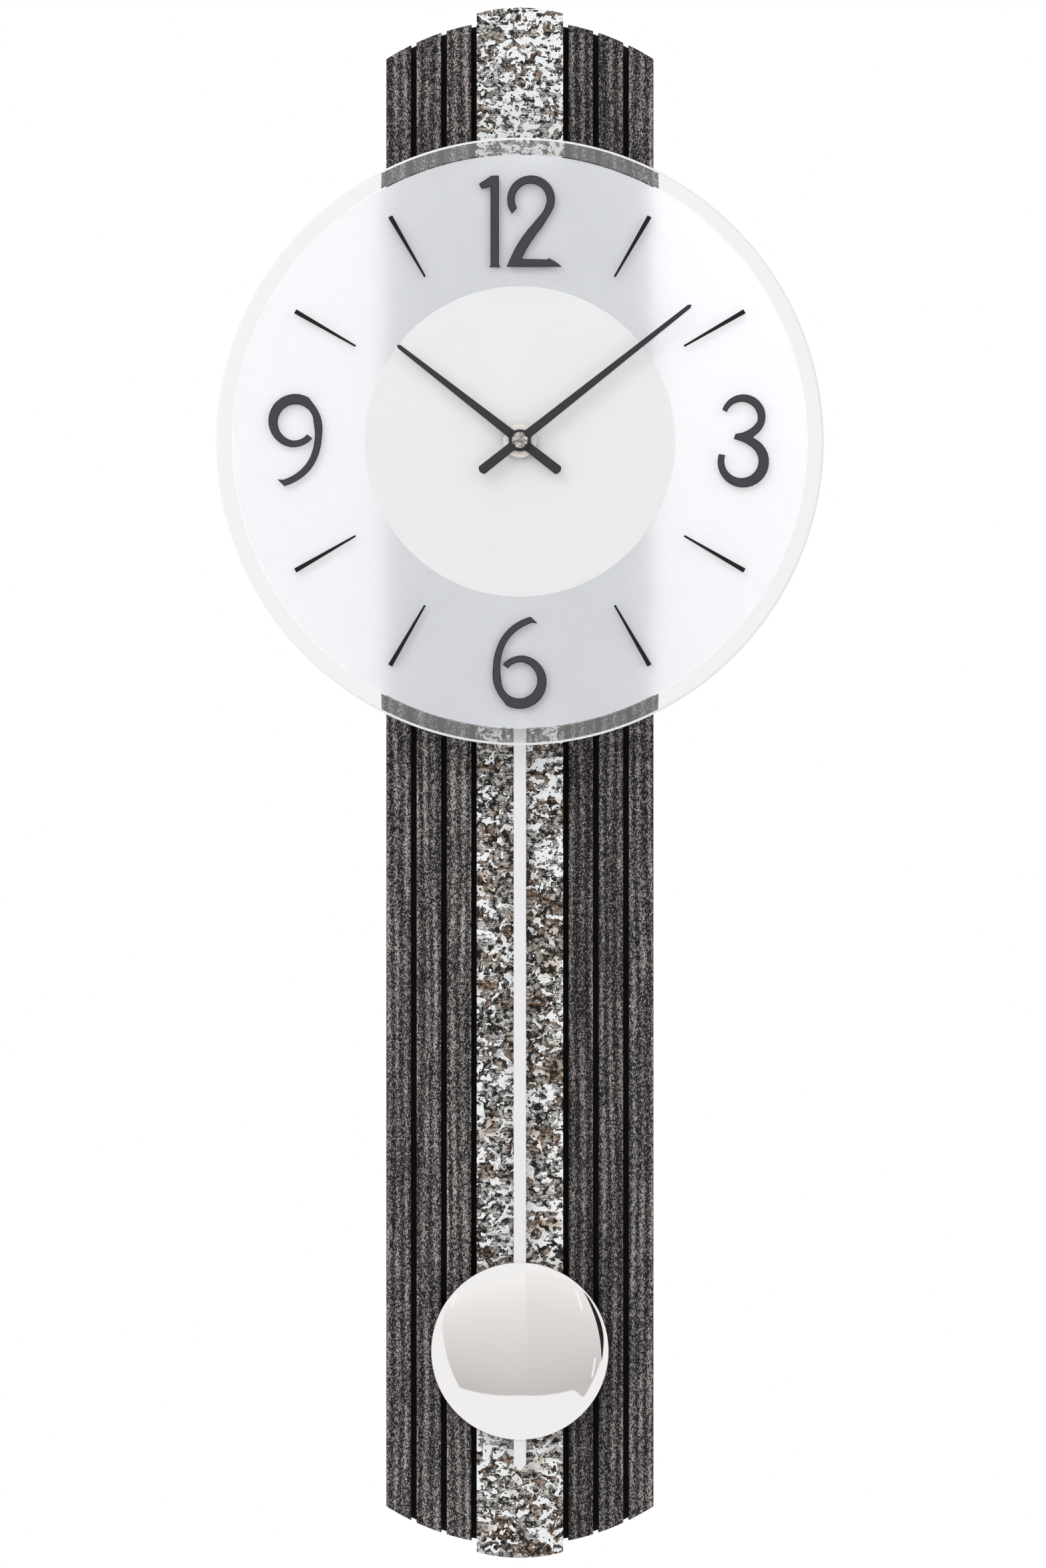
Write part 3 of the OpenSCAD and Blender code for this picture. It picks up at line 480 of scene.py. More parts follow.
# %% Bars
def rounded_bar(x0, x1, d0, d1, radius, steps=4, spans=8):
    """Loop of a rectangle in X and depth with round corners. The front half runs left to right and the back
    half returns. Each front point has a back point with the same X, so the ends can be closed in strips."""
    bend = np.radians(np.linspace(0, 90, steps + 1))
    edge, lift = radius * (1 - np.cos(bend)), radius * np.sin(bend)
    flat = np.linspace(x0 + radius, x1 - radius, spans + 1)[1:-1]
    level_lift = np.full(spans - 1, radius)
    x = np.concatenate((x0 + edge, flat, x1 - edge[::-1]))
    rise_up = np.concatenate((lift, level_lift, lift[::-1]))
    front, back = d1 - radius + rise_up, d0 + radius - rise_up
    return np.concatenate((np.stack((x, front), -1), np.stack((x, back), -1)[::-1]))


def bar_surface(loop, low, high, rows):
    """A bar along Z. The loop's points (x, d) go to (x, -d, z) with z from low(x) to high(x), so each end
    takes the outline that its function gives. The ends are strips between points with the same X."""
    x, depth = loop.T
    share = np.linspace(0, 1, rows)[:, None]
    z = low(x) * (1 - share) + high(x) * share
    points = np.stack(np.broadcast_arrays(x, -depth, z), axis=-1)
    count, half = len(loop), len(loop) // 2
    near = np.arange(half - 1)
    strip = np.stack((near, near + 1, count - 2 - near, count - 1 - near), axis=-1)
    ends = np.concatenate((strip, strip + (rows - 1) * count)).tolist()
    return points.reshape(-1, 3), grid_faces(rows, count) + ends


def joined(surfaces):
    """Several (points, faces) as one, with the face numbers moved on."""
    points, faces, start = [], [], 0
    for some_points, some_faces in surfaces:
        faces += [[number + start for number in face] for face in some_faces]
        points.append(some_points)
        start += len(some_points)
    return np.concatenate(points), faces


# %% [markdown]
# ## Easing the edges of a CAD solid
# Real parts have no knife edges: sheet is deburred, mouldings have a radius, and that narrow band catches the
# light. A CAD node's mesh is loose triangles, so it is left as it is and copied. In the copy the doubles are
# merged and flat neighbours dissolved, and a Bevel modifier then rounds every edge sharper than 35 degrees.
# The rims of painted parts can take a second finish: the sides and the bevel get the material's second slot.

# %% Eased copies
EASED_ANGLE = 35


def eased(node, coats, width):
    """A copy of a CAD node with its edges rounded to width. With two finishes the second is for the rim."""
    mesh = nodes[node].data.copy()
    mesh.name = node + "_eased"
    coat(mesh, coats)
    two = len(coats) > 1
    work = bmesh.new()
    work.from_mesh(mesh)
    bmesh.ops.remove_doubles(work, verts=work.verts, dist=2e-6)
    bmesh.ops.dissolve_limit(work, angle_limit=math.radians(0.4), verts=work.verts, edges=work.edges)
    for face in work.faces:
        face.material_index = int(two and abs(face.normal.y) < 0.7)
    work.to_mesh(mesh)
    work.free()
    piece = dress(bpy.data.objects.new(node + "_eased", mesh), node, EASED_ANGLE)
    rounded(piece, width, EASED_ANGLE, 1 if two else -1)
    return piece


# %% [markdown]
# ## Shared surface effects
# Four effects come back in nearly every finish, so each is a node group with named inputs, built once. They
# put out values only; the shader stays in the material.
# Grain is the fine unevenness of a surface. Brushing is the same noise drawn out along one direction. Worn
# edge finds edges by comparing the normal of a rounded version of the surface with the true one. Dust is a
# noise that only faces which look up receive.

# %% Node groups
def open_group(name, inputs, output):
    """A new group with the inputs {name: value} and one output. The value's form gives the socket's kind."""
    group = bpy.data.node_groups.new(name, "ShaderNodeTree")
    for label, value in inputs.items():
        kind = "NodeSocketFloat" if isinstance(value, float) else "NodeSocketVector"
        socket = group.interface.new_socket(label, in_out="INPUT", socket_type=kind)
        if isinstance(value, float):
            socket.default_value = value
    group.interface.new_socket(output, in_out="OUTPUT", socket_type="NodeSocketFloat")
    return group, group.nodes.new("NodeGroupInput").outputs


def close_group(value):
    """Links the value to its group's output."""
    fill(value.id_data.nodes.new("NodeGroupOutput"), {0: value})


def contrasted(value, contrast):
    """A value moved away from one half by the contrast, and kept between 0 and 1."""
    return sloped(minus(value, 0.5), contrast, 0.5, clamp=True)


grain_group, given = open_group("grain", {"Vector": (), "Scale": 1500.0, "Contrast": 1.0}, "Value")
fine = noise(given["Vector"], given["Scale"], 3.0, 0.65)
close_group(contrasted(fine, given["Contrast"]))

brush_group, given = open_group("brushing", {"Vector": (), "Stretch": (), "Contrast": 1.0}, "Value")
drawn = noise(scaled(given["Vector"], given["Stretch"]), 1.0, 4.0, 0.6)
close_group(contrasted(drawn, given["Contrast"]))

wear_group, given = open_group("worn_edge", {"Vector": (), "Radius": 0.0005, "Amount": 1.0}, "Mask")
soft_normal = fed("ShaderNodeBevel", {"Radius": given["Radius"]}, samples=4).outputs[0]
true_normal = put(wear_group, "ShaderNodeNewGeometry").outputs["Normal"]
edge = rise(vectors("DOT_PRODUCT", soft_normal, true_normal), 0.99, 0.85)
patchy = rise(noise(given["Vector"], 320.0, 4.0, 0.7), 0.42, 0.62)
close_group(times(edge, patchy, given["Amount"]))

dust_group, given = open_group("dust", {"Vector": (), "Amount": 1.0}, "Mask")
facing = xyz(put(dust_group, "ShaderNodeNewGeometry").outputs["Normal"])
settled = rise(noise(given["Vector"], 700.0, 4.0, 0.7), 0.4, 0.75)
close_group(times(rise(facing[2], 0.5, 0.98), settled, given["Amount"]))
print("groups:", [group.name for group in bpy.data.node_groups])


# %% [markdown]
# ## A plain recipe for hard finishes
# Lacquer, moulded plastic and plated sheet differ in numbers more than in kind: a colour that wanders a
# little, a roughness that follows the grain, a shallow relief, paler edges and a trace of dust. One function
# holds the recipe, and each finish is one line of numbers.
# The relief's strength is set by a distance in metres, so it stays right when the piece is seen close to.

# %% Tools for finishes
def start_finish(name, constants):
    """A new finish with a Principled shader, and the constants typed into the shader's own sockets."""
    finishes[name] = bpy.data.materials.new(name)
    finishes[name].use_nodes = True
    tree = finishes[name].node_tree
    shader = tree.nodes["Principled BSDF"]
    fill(shader, constants)
    return shader, put(tree, "ShaderNodeTexCoord").outputs["Object"]


def paint(shader, colour, value, low, high, start=0.2, end=0.8):
    """Links the colour, and a roughness that goes from low to high as the value goes from start to end."""
    fill(shader, {"Base Color": colour, "Roughness": rise(value, start, end, low, high)})


def relief(shader, height, distance):
    """Links a height to the shader's normal through a Bump node."""
    bump = fed("ShaderNodeBump", {"Height": height, "Distance": distance, "Strength": 1.0})
    fill(shader, {"Normal": bump.outputs[0]})


def shade(colour, factor):
    """A colour made lighter or darker by a factor."""
    return tuple(min(part * factor, 1.0) for part in colour)


def effect(group, inputs):
    """The output of a shared node group."""
    return fed("ShaderNodeGroup", inputs, node_tree=group).outputs[0]


def grain(place, scale, contrast=1.0):
    """The grain group's value."""
    return effect(grain_group, {"Vector": place, "Scale": scale, "Contrast": contrast})


def worn(place, radius, amount):
    """The mask of worn edges."""
    return effect(wear_group, {"Vector": place, "Radius": radius, "Amount": amount})


# %% Hard finishes
DUST = (0.5, 0.49, 0.47)


def hard_finish(name, colour, rough, metal=0.0, stretch=None, scale=1800.0, depth=0.00002, spread=0.12,
                edge=1.6, dust=0.12, **constants):
    """Colour, roughness and relief from grain, or from brushing where a stretch is given."""
    shader, place = start_finish(name, {"Metallic": metal, **constants})
    if stretch:
        value = effect(brush_group, {"Vector": place, "Stretch": stretch, "Contrast": 1.3})
    else:
        value = grain(place, scale, 1.6)
    tone = blend(value, shade(colour, 1 - spread), shade(colour, 1 + spread))
    tone = blend(worn(place, 0.0004, 0.5), tone, shade(colour, edge))
    tone = blend(effect(dust_group, {"Vector": place, "Amount": dust}), tone, DUST)
    paint(shader, tone, value, rough * 0.85, rough * 1.2)
    relief(shader, value, depth)


DULL = {"Specular IOR Level": 0.3}
LACQUER = {"edge": 1.0, "dust": 0.0, **DULL}
hard_finish("board_black", (0.009, 0.009, 0.0095), 0.6, scale=900.0, spread=0.4, edge=3.5, depth=0.0001,
            **DULL)
hard_finish("carrier_black", (0.02, 0.02, 0.021), 0.48, edge=2.0)
hard_finish("case_black", (0.022, 0.022, 0.024), 0.42, edge=1.8)
hard_finish("zinc_steel", (0.62, 0.63, 0.66), 0.34, 1.0, scale=420.0, spread=0.1, edge=1.25)
hard_finish("nut_champagne", (0.93, 0.88, 0.82), 0.36, 0.2, spread=0.04, edge=1.05, dust=0.0)
hard_finish("marker_anthracite", (0.05, 0.046, 0.056), 0.42, spread=0.08, depth=0.000006, **LACQUER)
hard_finish("hand_anthracite", (0.034, 0.032, 0.038), 0.42, spread=0.08, depth=0.000006, **LACQUER)
hard_finish("baton_dark", (0.005, 0.005, 0.006), 0.45, spread=0.1, depth=0.000006, **LACQUER)
# Near black on the sides and rounded rims of the marks and hands: painted shade.
hard_finish("rim_painted_shade", (0.004, 0.004, 0.005), 0.4, spread=0.1, **LACQUER)
hard_finish("plate_grey", (0.62, 0.62, 0.6), 0.45, spread=0.05, edge=1.1)
hard_finish("contact_nickel", (0.7, 0.68, 0.63), 0.25, 1.0, (900, 900, 90), edge=1.15)
hard_finish("crystal_can", (0.78, 0.78, 0.8), 0.2, 1.0, (90, 1500, 1500), edge=1.1)
hard_finish("stator_steel", (0.42, 0.43, 0.45), 0.35, 1.0, (200, 1500, 1500), edge=1.3)
hard_finish("gear_white", (0.82, 0.82, 0.79), 0.32, spread=0.03, edge=1.05, dust=0.0)
hard_finish("magnet_grey", (0.5, 0.51, 0.53), 0.3, 1.0, spread=0.08, edge=1.2)
hard_finish("rod_silver", (0.955, 0.95, 0.98), 0.38, 0.55, (5200, 5200, 60), depth=0.000004, spread=0.015,
            edge=1.05, dust=0.0)
print(len(finishes), "hard finishes")


# %% [markdown]
# ## The slats' veneer
# The slats are faced with a dark grey brushed veneer. Close to, it is a felt of pale and dark specks; from
# further away, two or three soft light bands run down each slat and wander a little as grain does. The sine of
# X gives evenly spaced bands, and a slow noise added to its angle makes them wander. The specks are two grains
# of different size. A painted picture would repeat, but a noise never does.
# The amount of light is squared before it picks the colour: the eye judges dark tones by their ratio, so the
# specks then look as lively in the shade as in the light.
# Each slat was cut from another sheet, so a "tone" stored on its mesh moves the amount of light and scales
# the colour.

# %% Veneer
def weighted(start, *parts):
    """start + the sum of weight * (value - 0.5), for parts given as (value, weight)."""
    total = start
    for value, weight in parts:
        total = maths("ADD", total, sloped(value, weight, -0.5 * weight))
    return total


VENEER_DARK = (0.006, 0.005, 0.005)
VENEER_LIGHT = (0.50, 0.455, 0.445)
VENEER_WORN = (0.2, 0.19, 0.185)
BANDS_PER_METRE = 225
shader, place = start_finish("slat_veneer", {"Specular IOR Level": 0.2})
wander = noise(scaled(place, (75, 75, 6)), 1.0, 2.0)
angle = sloped(wander, 11.0, times(xyz(place)[0], 2 * math.pi * BANDS_PER_METRE))
strength = rise(noise(scaled(place, (200, 200, 30)), 1.0, 2.0), 0.3, 0.7, 0.45, 1.25)
bands = times(sloped(maths("SINE", angle), 0.5, 0.5), strength)
patches = noise(scaled(place, (120, 120, 40)), 1.0, 3.0)
specks = grain(scaled(place, (1.0, 1.0, 0.6)), 2100.0)
fine_specks = grain(place, 4200.0)
veneer = shader.id_data
tone = put(veneer, "ShaderNodeAttribute", attribute_type="GEOMETRY", attribute_name="tone").outputs["Fac"]
amount = weighted(sloped(tone, 0.5, -0.335), (bands, 0.72), (patches, 0.42), (specks, 7.0),
                  (fine_specks, 6.2))
amount = maths("POWER", greatest(amount, 0.0), 2.0, clamp=True)
colour = scaled(blend(amount, VENEER_DARK, VENEER_LIGHT), tone)
colour = blend(worn(place, 0.0005, 0.35), colour, VENEER_WORN)
paint(shader, colour, specks, 0.62, 0.85)
relief(shader, weighted(0.5, (bands, 0.4), (specks, 0.5), (fine_specks, 0.2)), 0.00012)
print("slat_veneer has", len(veneer.nodes), "nodes")

# %% [markdown]
# ## The stone
# A veneer of natural stone, split a couple of millimetres thick. It has a mottled grey ground with thin level
# lines, white islands with broken black outlines, crowded zones full of dark strokes, small crumbs of dark and
# pale mineral, and a brown stain where iron has seeped in. Its two ends are lighter than its middle.
# Everything comes from noise that is read at a displaced place: one noise pushes the place of another to the
# side, first in long curls and then in short ones, so nothing runs straight. Where the islands' noise is high
# there is an island, and just below the shore's value lies its outline. The strokes are contour lines, as on a
# map: the places where a smooth noise passes one value. Their width changes along them, as if drawn with a
# brush. The crumbs are the places where a fine noise is very low or high.
# The noises are read at 1150 units per metre, so a scale of 1 gives forms of about a millimetre.

# %% Tools for the stone
def displaced(place, by, scale, reach):
    """The place moved to the side by up to half the reach, by a noise read at `by`."""
    push = vectors("ADD", noise(by, scale, 1.0, 0.5, output=1), (-0.5, -0.5, -0.5))
    return vectors("MULTIPLY_ADD", push, reach, place)


def stroke(place, scale, level, breadth, detail):
    """A contour line of noise: 1 where the noise is within `breadth` of the level, with soft sides."""
    off = away(noise(place, scale, detail, 0.5), level)
    return rise(minus(breadth, off), -0.012, 0.010)


# %% The stone's fields
STONE_UNITS = 1150
SHORE = 0.588
shader, place = start_finish("stone_veneer", DULL)
spot = scaled(place, (STONE_UNITS, STONE_UNITS, STONE_UNITS))
bent = displaced(spot, spot, 0.11, (13, 13, 9))
curled = displaced(bent, spot, 0.42, (4.6, 4.6, 3.4))
flat = scaled(curled, (1.0, 1.0, 1.35))
upward = xyz(place)[2]
whiter = greatest(rise(upward, -0.17, 0.05, 0.0, 0.23), rise(upward, -0.50, -0.58, 0.10, 0.15))
zone = maths("ADD", noise(spot, 0.05, 1.0), whiter)
islands = weighted(0.5, (zone, 0.34), (noise(flat, 0.21, 1.2, 0.5), 1.0))
island = rise(islands, SHORE, SHORE + 0.012)
open_ground = minus(1.0, island)
crowd = rise(minus(noise(flat, 0.07, 2.5, 0.6), whiter), 0.40, 0.56)

# %% The stone's dark lines
STROKES = ((0.30, 0.50, 1.0, 1.6), (0.34, 0.57, 1.0, 1.8), (0.60, 0.46, 1.8, 1.2), (1.1, 0.52, 2.8, 0.8))
brush = rise(noise(spot, 0.35, 1.5, 0.6), 0.40, 0.64, -0.02, 0.06)
breadth = times(brush, sloped(crowd, 0.7, 0.5))
strokes = greatest(*(stroke(flat, scale, height, times(breadth, wider), detail)
                     for scale, height, wider, detail in STROKES))
ripples = maths("SINE", times(noise(curled, 0.15, 1.0), 34.0))
nested = rise(sloped(breadth, 9.0, times(away(ripples, 0.0), -1.0)), -0.12, 0.10)
blots = times(rise(noise(flat, 0.40, 3.0, 0.6), 0.55, 0.59), crowd)
broken = noise(spot, 0.5, 2.0, 0.6)
coast = times(rise(away(islands, SHORE - 0.014), 0.020, 0.012), rise(broken, 0.40, 0.50))
beach = times(rise(islands, SHORE - 0.055, SHORE - 0.015), rise(broken, 0.54, 0.60))
dots = times(rise(noise(bent, 0.75, 0.0), 0.70, 0.75), island)
crumbs = noise(displaced(flat, spot, 0.9, (1.0, 1.0, 0.7)), 0.52, 1.0, 0.5)
dark_crumbs = times(rise(crumbs, 0.48, 0.42), sloped(crowd, 0.6, 0.4))
dark = times(greatest(strokes, nested, blots, beach, dark_crumbs), open_ground)
dark = greatest(dark, coast, dots)

# %% The stone's colours
STONE_WHITE = (0.84, 0.85, 0.86)
STONE_PALE = (0.68, 0.665, 0.64)
STONE_GREY = (0.09, 0.082, 0.076)
STONE_RUST = (0.20, 0.098, 0.034)
STONE_BLACK = (0.005, 0.004, 0.0035)
STONE_STAIN = (0.60, 0.50, 0.41)

ground = rise(noise(flat, 0.40, 4.0, 0.66), 0.29, 0.55)
colour = blend(sloped(crowd, -0.5, ground, clamp=True), STONE_GREY, STONE_PALE)
light_crumbs = times(rise(crumbs, 0.55, 0.60), sloped(crowd, -0.5, 0.8))
colour = blend(light_crumbs, colour, STONE_PALE)
rust = times(rise(noise(flat, 0.06, 2.0), 0.43, 0.57), open_ground, 0.85,
             rise(noise(curled, 0.30, 4.0, 0.6), 0.40, 0.56))
colour = blend(rust, colour, STONE_RUST)
colour = blend(island, colour, STONE_WHITE)
seams = rise(noise(scaled(spot, (0.10, 0.10, 2.0)), 1.0, 3.0, 0.6), 0.50, 0.62)
seams = times(seams, sloped(open_ground, 0.68, 0.12))
colour = blend(seams, colour, shade(STONE_GREY, 0.4))
stained = rise(minus(noise(flat, 0.05, 2.0), whiter), 0.42, 0.60)
colour = scaled(colour, blend(stained, WHITE, STONE_STAIN))
colour = blend(dark, colour, STONE_BLACK)
pits = grain(place, 2200.0, 1.2)
paint(shader, colour, pits, 0.5, 0.75)
relief(shader, weighted(0.5, (dark, -0.4), (pits, 0.3), (seams, -0.3)), 0.0002)
print("stone_veneer has", len(shader.id_data.nodes), "nodes")

# %% [markdown]
# ## Glass, and the prints behind it
# The dial is float glass, so the shader is plain: full transmission and an index of 1.5. Only its roughness
# varies, by a film too thin to see head on. The bevel was ground and polished by hand, and keeps a slight
# haze. The edge below it was only ground, so it is nearly white.
# Behind the glass lies a frosted silver print. A print like that does two things at once. It scatters about
# two thirds of the light back, which is its silver, and lets the rest through so roughly that the case behind
# is a soft shadow. So its front face is part diffuse and part rough glass. Its back face is clear, because
# light that passes a layer should be scattered once and not twice.

# %% Glass and prints
GLASS = {"Transmission Weight": 1.0, "IOR": 1.5}
shader, place = start_finish("dial_glass", {"Base Color": (0.993, 1.0, 0.997), **GLASS})
fill(shader, {"Roughness": rise(noise(place, 25.0, 3.0), 0.4, 0.8, 0.0, 0.03)})

for name, haze_colour, clear, rough in (("glass_bevel", (0.82, 0.835, 0.83), 0.88, 0.01),
                                        ("glass_edge", (0.87, 0.88, 0.88), 0.03, 0.5)):
    shader, place = start_finish(name, {**GLASS, "Transmission Weight": clear})
    haze = grain(place, 900.0)
    colour = blend(haze, shade(haze_colour, 0.96), shade(haze_colour, 1.04))
    paint(shader, colour, haze, rough * 0.6, rough * 1.4)

SILVER_LOW = (0.89, 0.90, 1.0)
SILVER_HIGH = (0.97, 0.98, 1.0)
shader, place = start_finish("frosted_print", {"Transmission Weight": 0.29, "IOR": 1.4})
sparkle = grain(place, 2000.0, 1.6)
amount = weighted(0.5, (sparkle, 1.4), (noise(place, 60.0, 3.0), 0.4))
paint(shader, blend(amount, SILVER_LOW, SILVER_HIGH), sparkle, 0.62, 0.78, 0.1, 0.9)

CLEAR_BACK = {"Base Color": (1.0, 0.97, 0.86), "Transmission Weight": 1.0, "IOR": 1.4}
shader, place = start_finish("print_back", CLEAR_BACK)
fill(shader, {"Roughness": rise(noise(place, 90.0), 0.3, 0.7, 0.0, 0.05)})

CREAM_LOW = (0.84, 0.85, 0.843)
CREAM_HIGH = (0.866, 0.866, 0.866)
shader, place = start_finish("centre_print", {"Specular IOR Level": 0.2})
colour = blend(noise(place, 45.0, 4.0), CREAM_LOW, CREAM_HIGH)
paint(shader, colour, grain(place, 1200.0), 0.4, 0.6)
print("glass and prints done, with", len(finishes), "finishes so far")

# %% [markdown]
# ## The remaining finishes
# Felt is short fibre, so it gets a sheen and a fuzzy relief. Foam is a field of cells. Enamelled wire lies in
# turns, which a Wave texture draws across the winding. The circuit board's tracks are the mortar of a Brick
# texture. The battery's sleeve has its bands placed along its own length, measured from the plus end.
# The cap was turned, and its colour holds a painted reflection: light and dark streaks that run outwards, as
# the reflection of a turned face does. The noise is read on a circle, by direction from the centre.
# The mirror of the bob needs next to nothing: a colour, and the least change of roughness.

# %% Felt, foam, wire and circuit board
def cell_finish(name, colour, scale, depth, rough, **constants):
    """Felt or foam: cells of a Voronoi texture over a grain."""
    shader, place = start_finish(name, constants)
    cells = fed("ShaderNodeTexVoronoi", {"Vector": place, "Scale": scale}).outputs["Distance"]
    fuzz = grain(place, scale * 2, 1.5)
    amount = weighted(0.5, (cells, 0.6), (fuzz, 0.6))
    paint(shader, blend(amount, shade(colour, 0.5), shade(colour, 1.8)), fuzz, rough * 0.9, rough)
    relief(shader, amount, depth)


SHEEN = {"Sheen Weight": 0.4, "Sheen Roughness": 0.5}
cell_finish("black_felt", (0.018, 0.018, 0.018), 2600.0, 0.0002, 1.0, **SHEEN)
cell_finish("foam_tape", (0.03, 0.03, 0.03), 1400.0, 0.00015, 0.9)

COPPER_LOW = (0.42, 0.15, 0.06)
COPPER_HIGH = (0.72, 0.33, 0.16)
shader, place = start_finish("copper_wire", {"Metallic": 0.9, "Coat Weight": 0.4})
winding = {"Vector": place, "Scale": 1100.0, "Distortion": 0.6, "Detail": 1.0}
lustre = noise(place, 300.0, 2.0)
paint(shader, blend(lustre, COPPER_LOW, COPPER_HIGH), lustre, 0.22, 0.36, 0.3, 0.7)
relief(shader, fed("ShaderNodeTexWave", winding, bands_direction="X").outputs[1], 0.00008)

BOARD_LOW = (0.012, 0.09, 0.035)
BOARD_HIGH = (0.02, 0.14, 0.05)
TRACK_GREEN = (0.05, 0.27, 0.10)
BLACK = (0.0, 0.0, 0.0)
shader, place = start_finish("circuit_green", {"Coat Weight": 0.3})
bricks = {"Vector": scaled(place, (1, 0, 1)), "Scale": 1.0, "Color1": BLACK, "Color2": BLACK,
          "Mortar": WHITE, "Brick Width": 4.3 * MM, "Row Height": 1.1 * MM, "Mortar Size": 0.16 * MM}
tracks = fed("ShaderNodeTexBrick", bricks).outputs[0]
board_grain = grain(place, 2000.0)
colour = blend(tracks, blend(board_grain, BOARD_LOW, BOARD_HIGH), TRACK_GREEN)
paint(shader, colour, board_grain, 0.28, 0.4)
relief(shader, tracks, 0.00004)

# %% Battery sleeve
SLEEVE_BLUE = (0.02, 0.075, 0.22)
SLEEVE_SILVER = (0.62, 0.63, 0.65)
TIN = (0.7, 0.69, 0.66)
battery_low, battery_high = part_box("battery")
battery_length = battery_high.x - battery_low.x
shader, place = start_finish("battery_sleeve", {"Coat Weight": 0.5, "Coat Roughness": 0.1})
from_plus = minus(battery_high.x, xyz(place)[0])
band = inside(from_plus, 2.6 * MM, 14.1 * MM, 0.2 * MM)
line = inside(from_plus, 15.3 * MM, 16.3 * MM, 0.1 * MM)
tin = minus(1.0, inside(from_plus, 1.7 * MM, battery_length - 1.0 * MM, 0.2 * MM))
ink = grain(place, 1500.0, 0.8)
colour = blend(ink, shade(SLEEVE_BLUE, 0.8), SLEEVE_BLUE)
colour = blend(greatest(band, line), colour, SLEEVE_SILVER)
paint(shader, blend(tin, colour, TIN), ink, 0.22, 0.34)
fill(shader, {"Metallic": greatest(band, tin)})
relief(shader, weighted(0.5, (tin, -1.0), (ink, 0.05)), 0.0001)

# %% Cap and bob
CAP_REFLECTION_DARK = (0.13, 0.105, 0.09)
CAP_REFLECTION_LIGHT = (0.93, 0.9, 0.87)
cap = middle("hand_cap")
shader, place = start_finish("cap_silver", {"Metallic": 1.0})
outwards = scaled(vectors("ADD", place, (-cap.x, 0.0, -cap.z)), (1, 0, 1))
# Painted reflection: streaks from near black to near white in the metal's colour, running outwards from the
# centre.
streak = noise(vectors("NORMALIZE", outwards), 1.9, 3.0, 0.6)
rings = noise(place, 900.0, 2.0)
amount = rise(weighted(0.5, (streak, 1.5), (rings, 0.7)), 0.15, 0.95)
paint(shader, blend(amount, CAP_REFLECTION_DARK, CAP_REFLECTION_LIGHT), rings, 0.12, 0.22, 0.3, 0.7)

CHROME_LOW = (0.955, 0.945, 0.94)
CHROME_HIGH = (0.975, 0.965, 0.96)
shader, place = start_finish("bob_chrome", {"Metallic": 1.0})
breath = noise(place, 70.0, 3.0)
paint(shader, blend(breath, CHROME_LOW, CHROME_HIGH), breath, 0.012, 0.035, 0.35, 0.75)
print("finishes still missing:", sorted(set(slot_of.values()) - set(finishes)))

# %% [markdown]
# ## Slats
# A slat is a bar of one section with an arched end. Its surface takes two parameters: the way round the
# section, and the share of the height. Since each end's height is a function of X, the same formula cuts every
# slat to the arch, and a straight cut is the constant function. The two inner pairs of slats are interrupted
# by the box behind the dial, so they are two bars in one piece.
# The face is veneer and the body black board, as the black grooves show.

# %% Slat surfaces
SLAT_ARCH = 112 * MM
SLAT_ROUND = 0.5 * MM
RIM_BEVEL = 0.3 * MM
END_ANGLE = 40
CARRIER_GAP = 0.3 * MM
SLATS = {"left_outer": 0.95, "left_middle": 0.96, "left_inner": 1.06,
         "right_inner": 0.76, "right_middle": 0.81, "right_outer": 0.92}


def arch(end, nearest, side, radius):
    """Height of an arched end at x: `end` at |x| = nearest, bulging up (side 1) or down (-1)."""
    return lambda x: end + side * (np.sqrt(radius ** 2 - x ** 2) - math.sqrt(radius ** 2 - nearest ** 2))


def level(height):
    """Height of a straight end."""
    return lambda x: np.full_like(x, height)


def of_faces(mesh, kind):
    """The normals or centres of a mesh's faces, as rows of three."""
    values = np.empty(len(mesh.polygons) * 3)
    mesh.polygons.foreach_get(kind, values)
    return values.reshape(-1, 3)


def front_first(mesh):
    """Puts the second finish on every face that doesn't look forward."""
    second = (of_faces(mesh, "normal")[:, 1] > -0.7).astype(np.int32)
    mesh.polygons.foreach_set("material_index", second)


carrier_low, carrier_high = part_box("dial_carrier")
cut_low, cut_high = level(carrier_low.z - CARRIER_GAP), level(carrier_high.z + CARRIER_GAP)
for slat_name, slat_tone in SLATS.items():
    node = "slat_" + slat_name
    low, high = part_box(node)
    nearest = min(abs(low.x), abs(high.x))
    loop = rounded_bar(low.x, high.x, *depths(node), SLAT_ROUND)
    lower, upper = arch(low.z, nearest, -1, SLAT_ARCH), arch(high.z, nearest, 1, SLAT_ARCH)
    if nearest < carrier_high.x:
        bars = [bar_surface(loop, lower, cut_low, 40), bar_surface(loop, cut_high, upper, 12)]
    else:
        bars = [bar_surface(loop, lower, upper, 60)]
    slat = new_piece(node + "_veneered", *joined(bars), ["slat_veneer", "board_black"], node)
    front_first(slat.data)
    rounded(slat, RIM_BEVEL, END_ANGLE)
    tone = slat.data.attributes.new("tone", "FLOAT", "POINT")
    tone.data.foreach_set("value", np.full(len(slat.data.vertices), slat_tone, np.float32))

# %% [markdown]
# ## Stone strip and its rail
# The strip is cut like the slats, with a rounder arch that reaches 5 mm further at each end. It is two lengths,
# above and below the box behind the dial, each glued on a black rail.

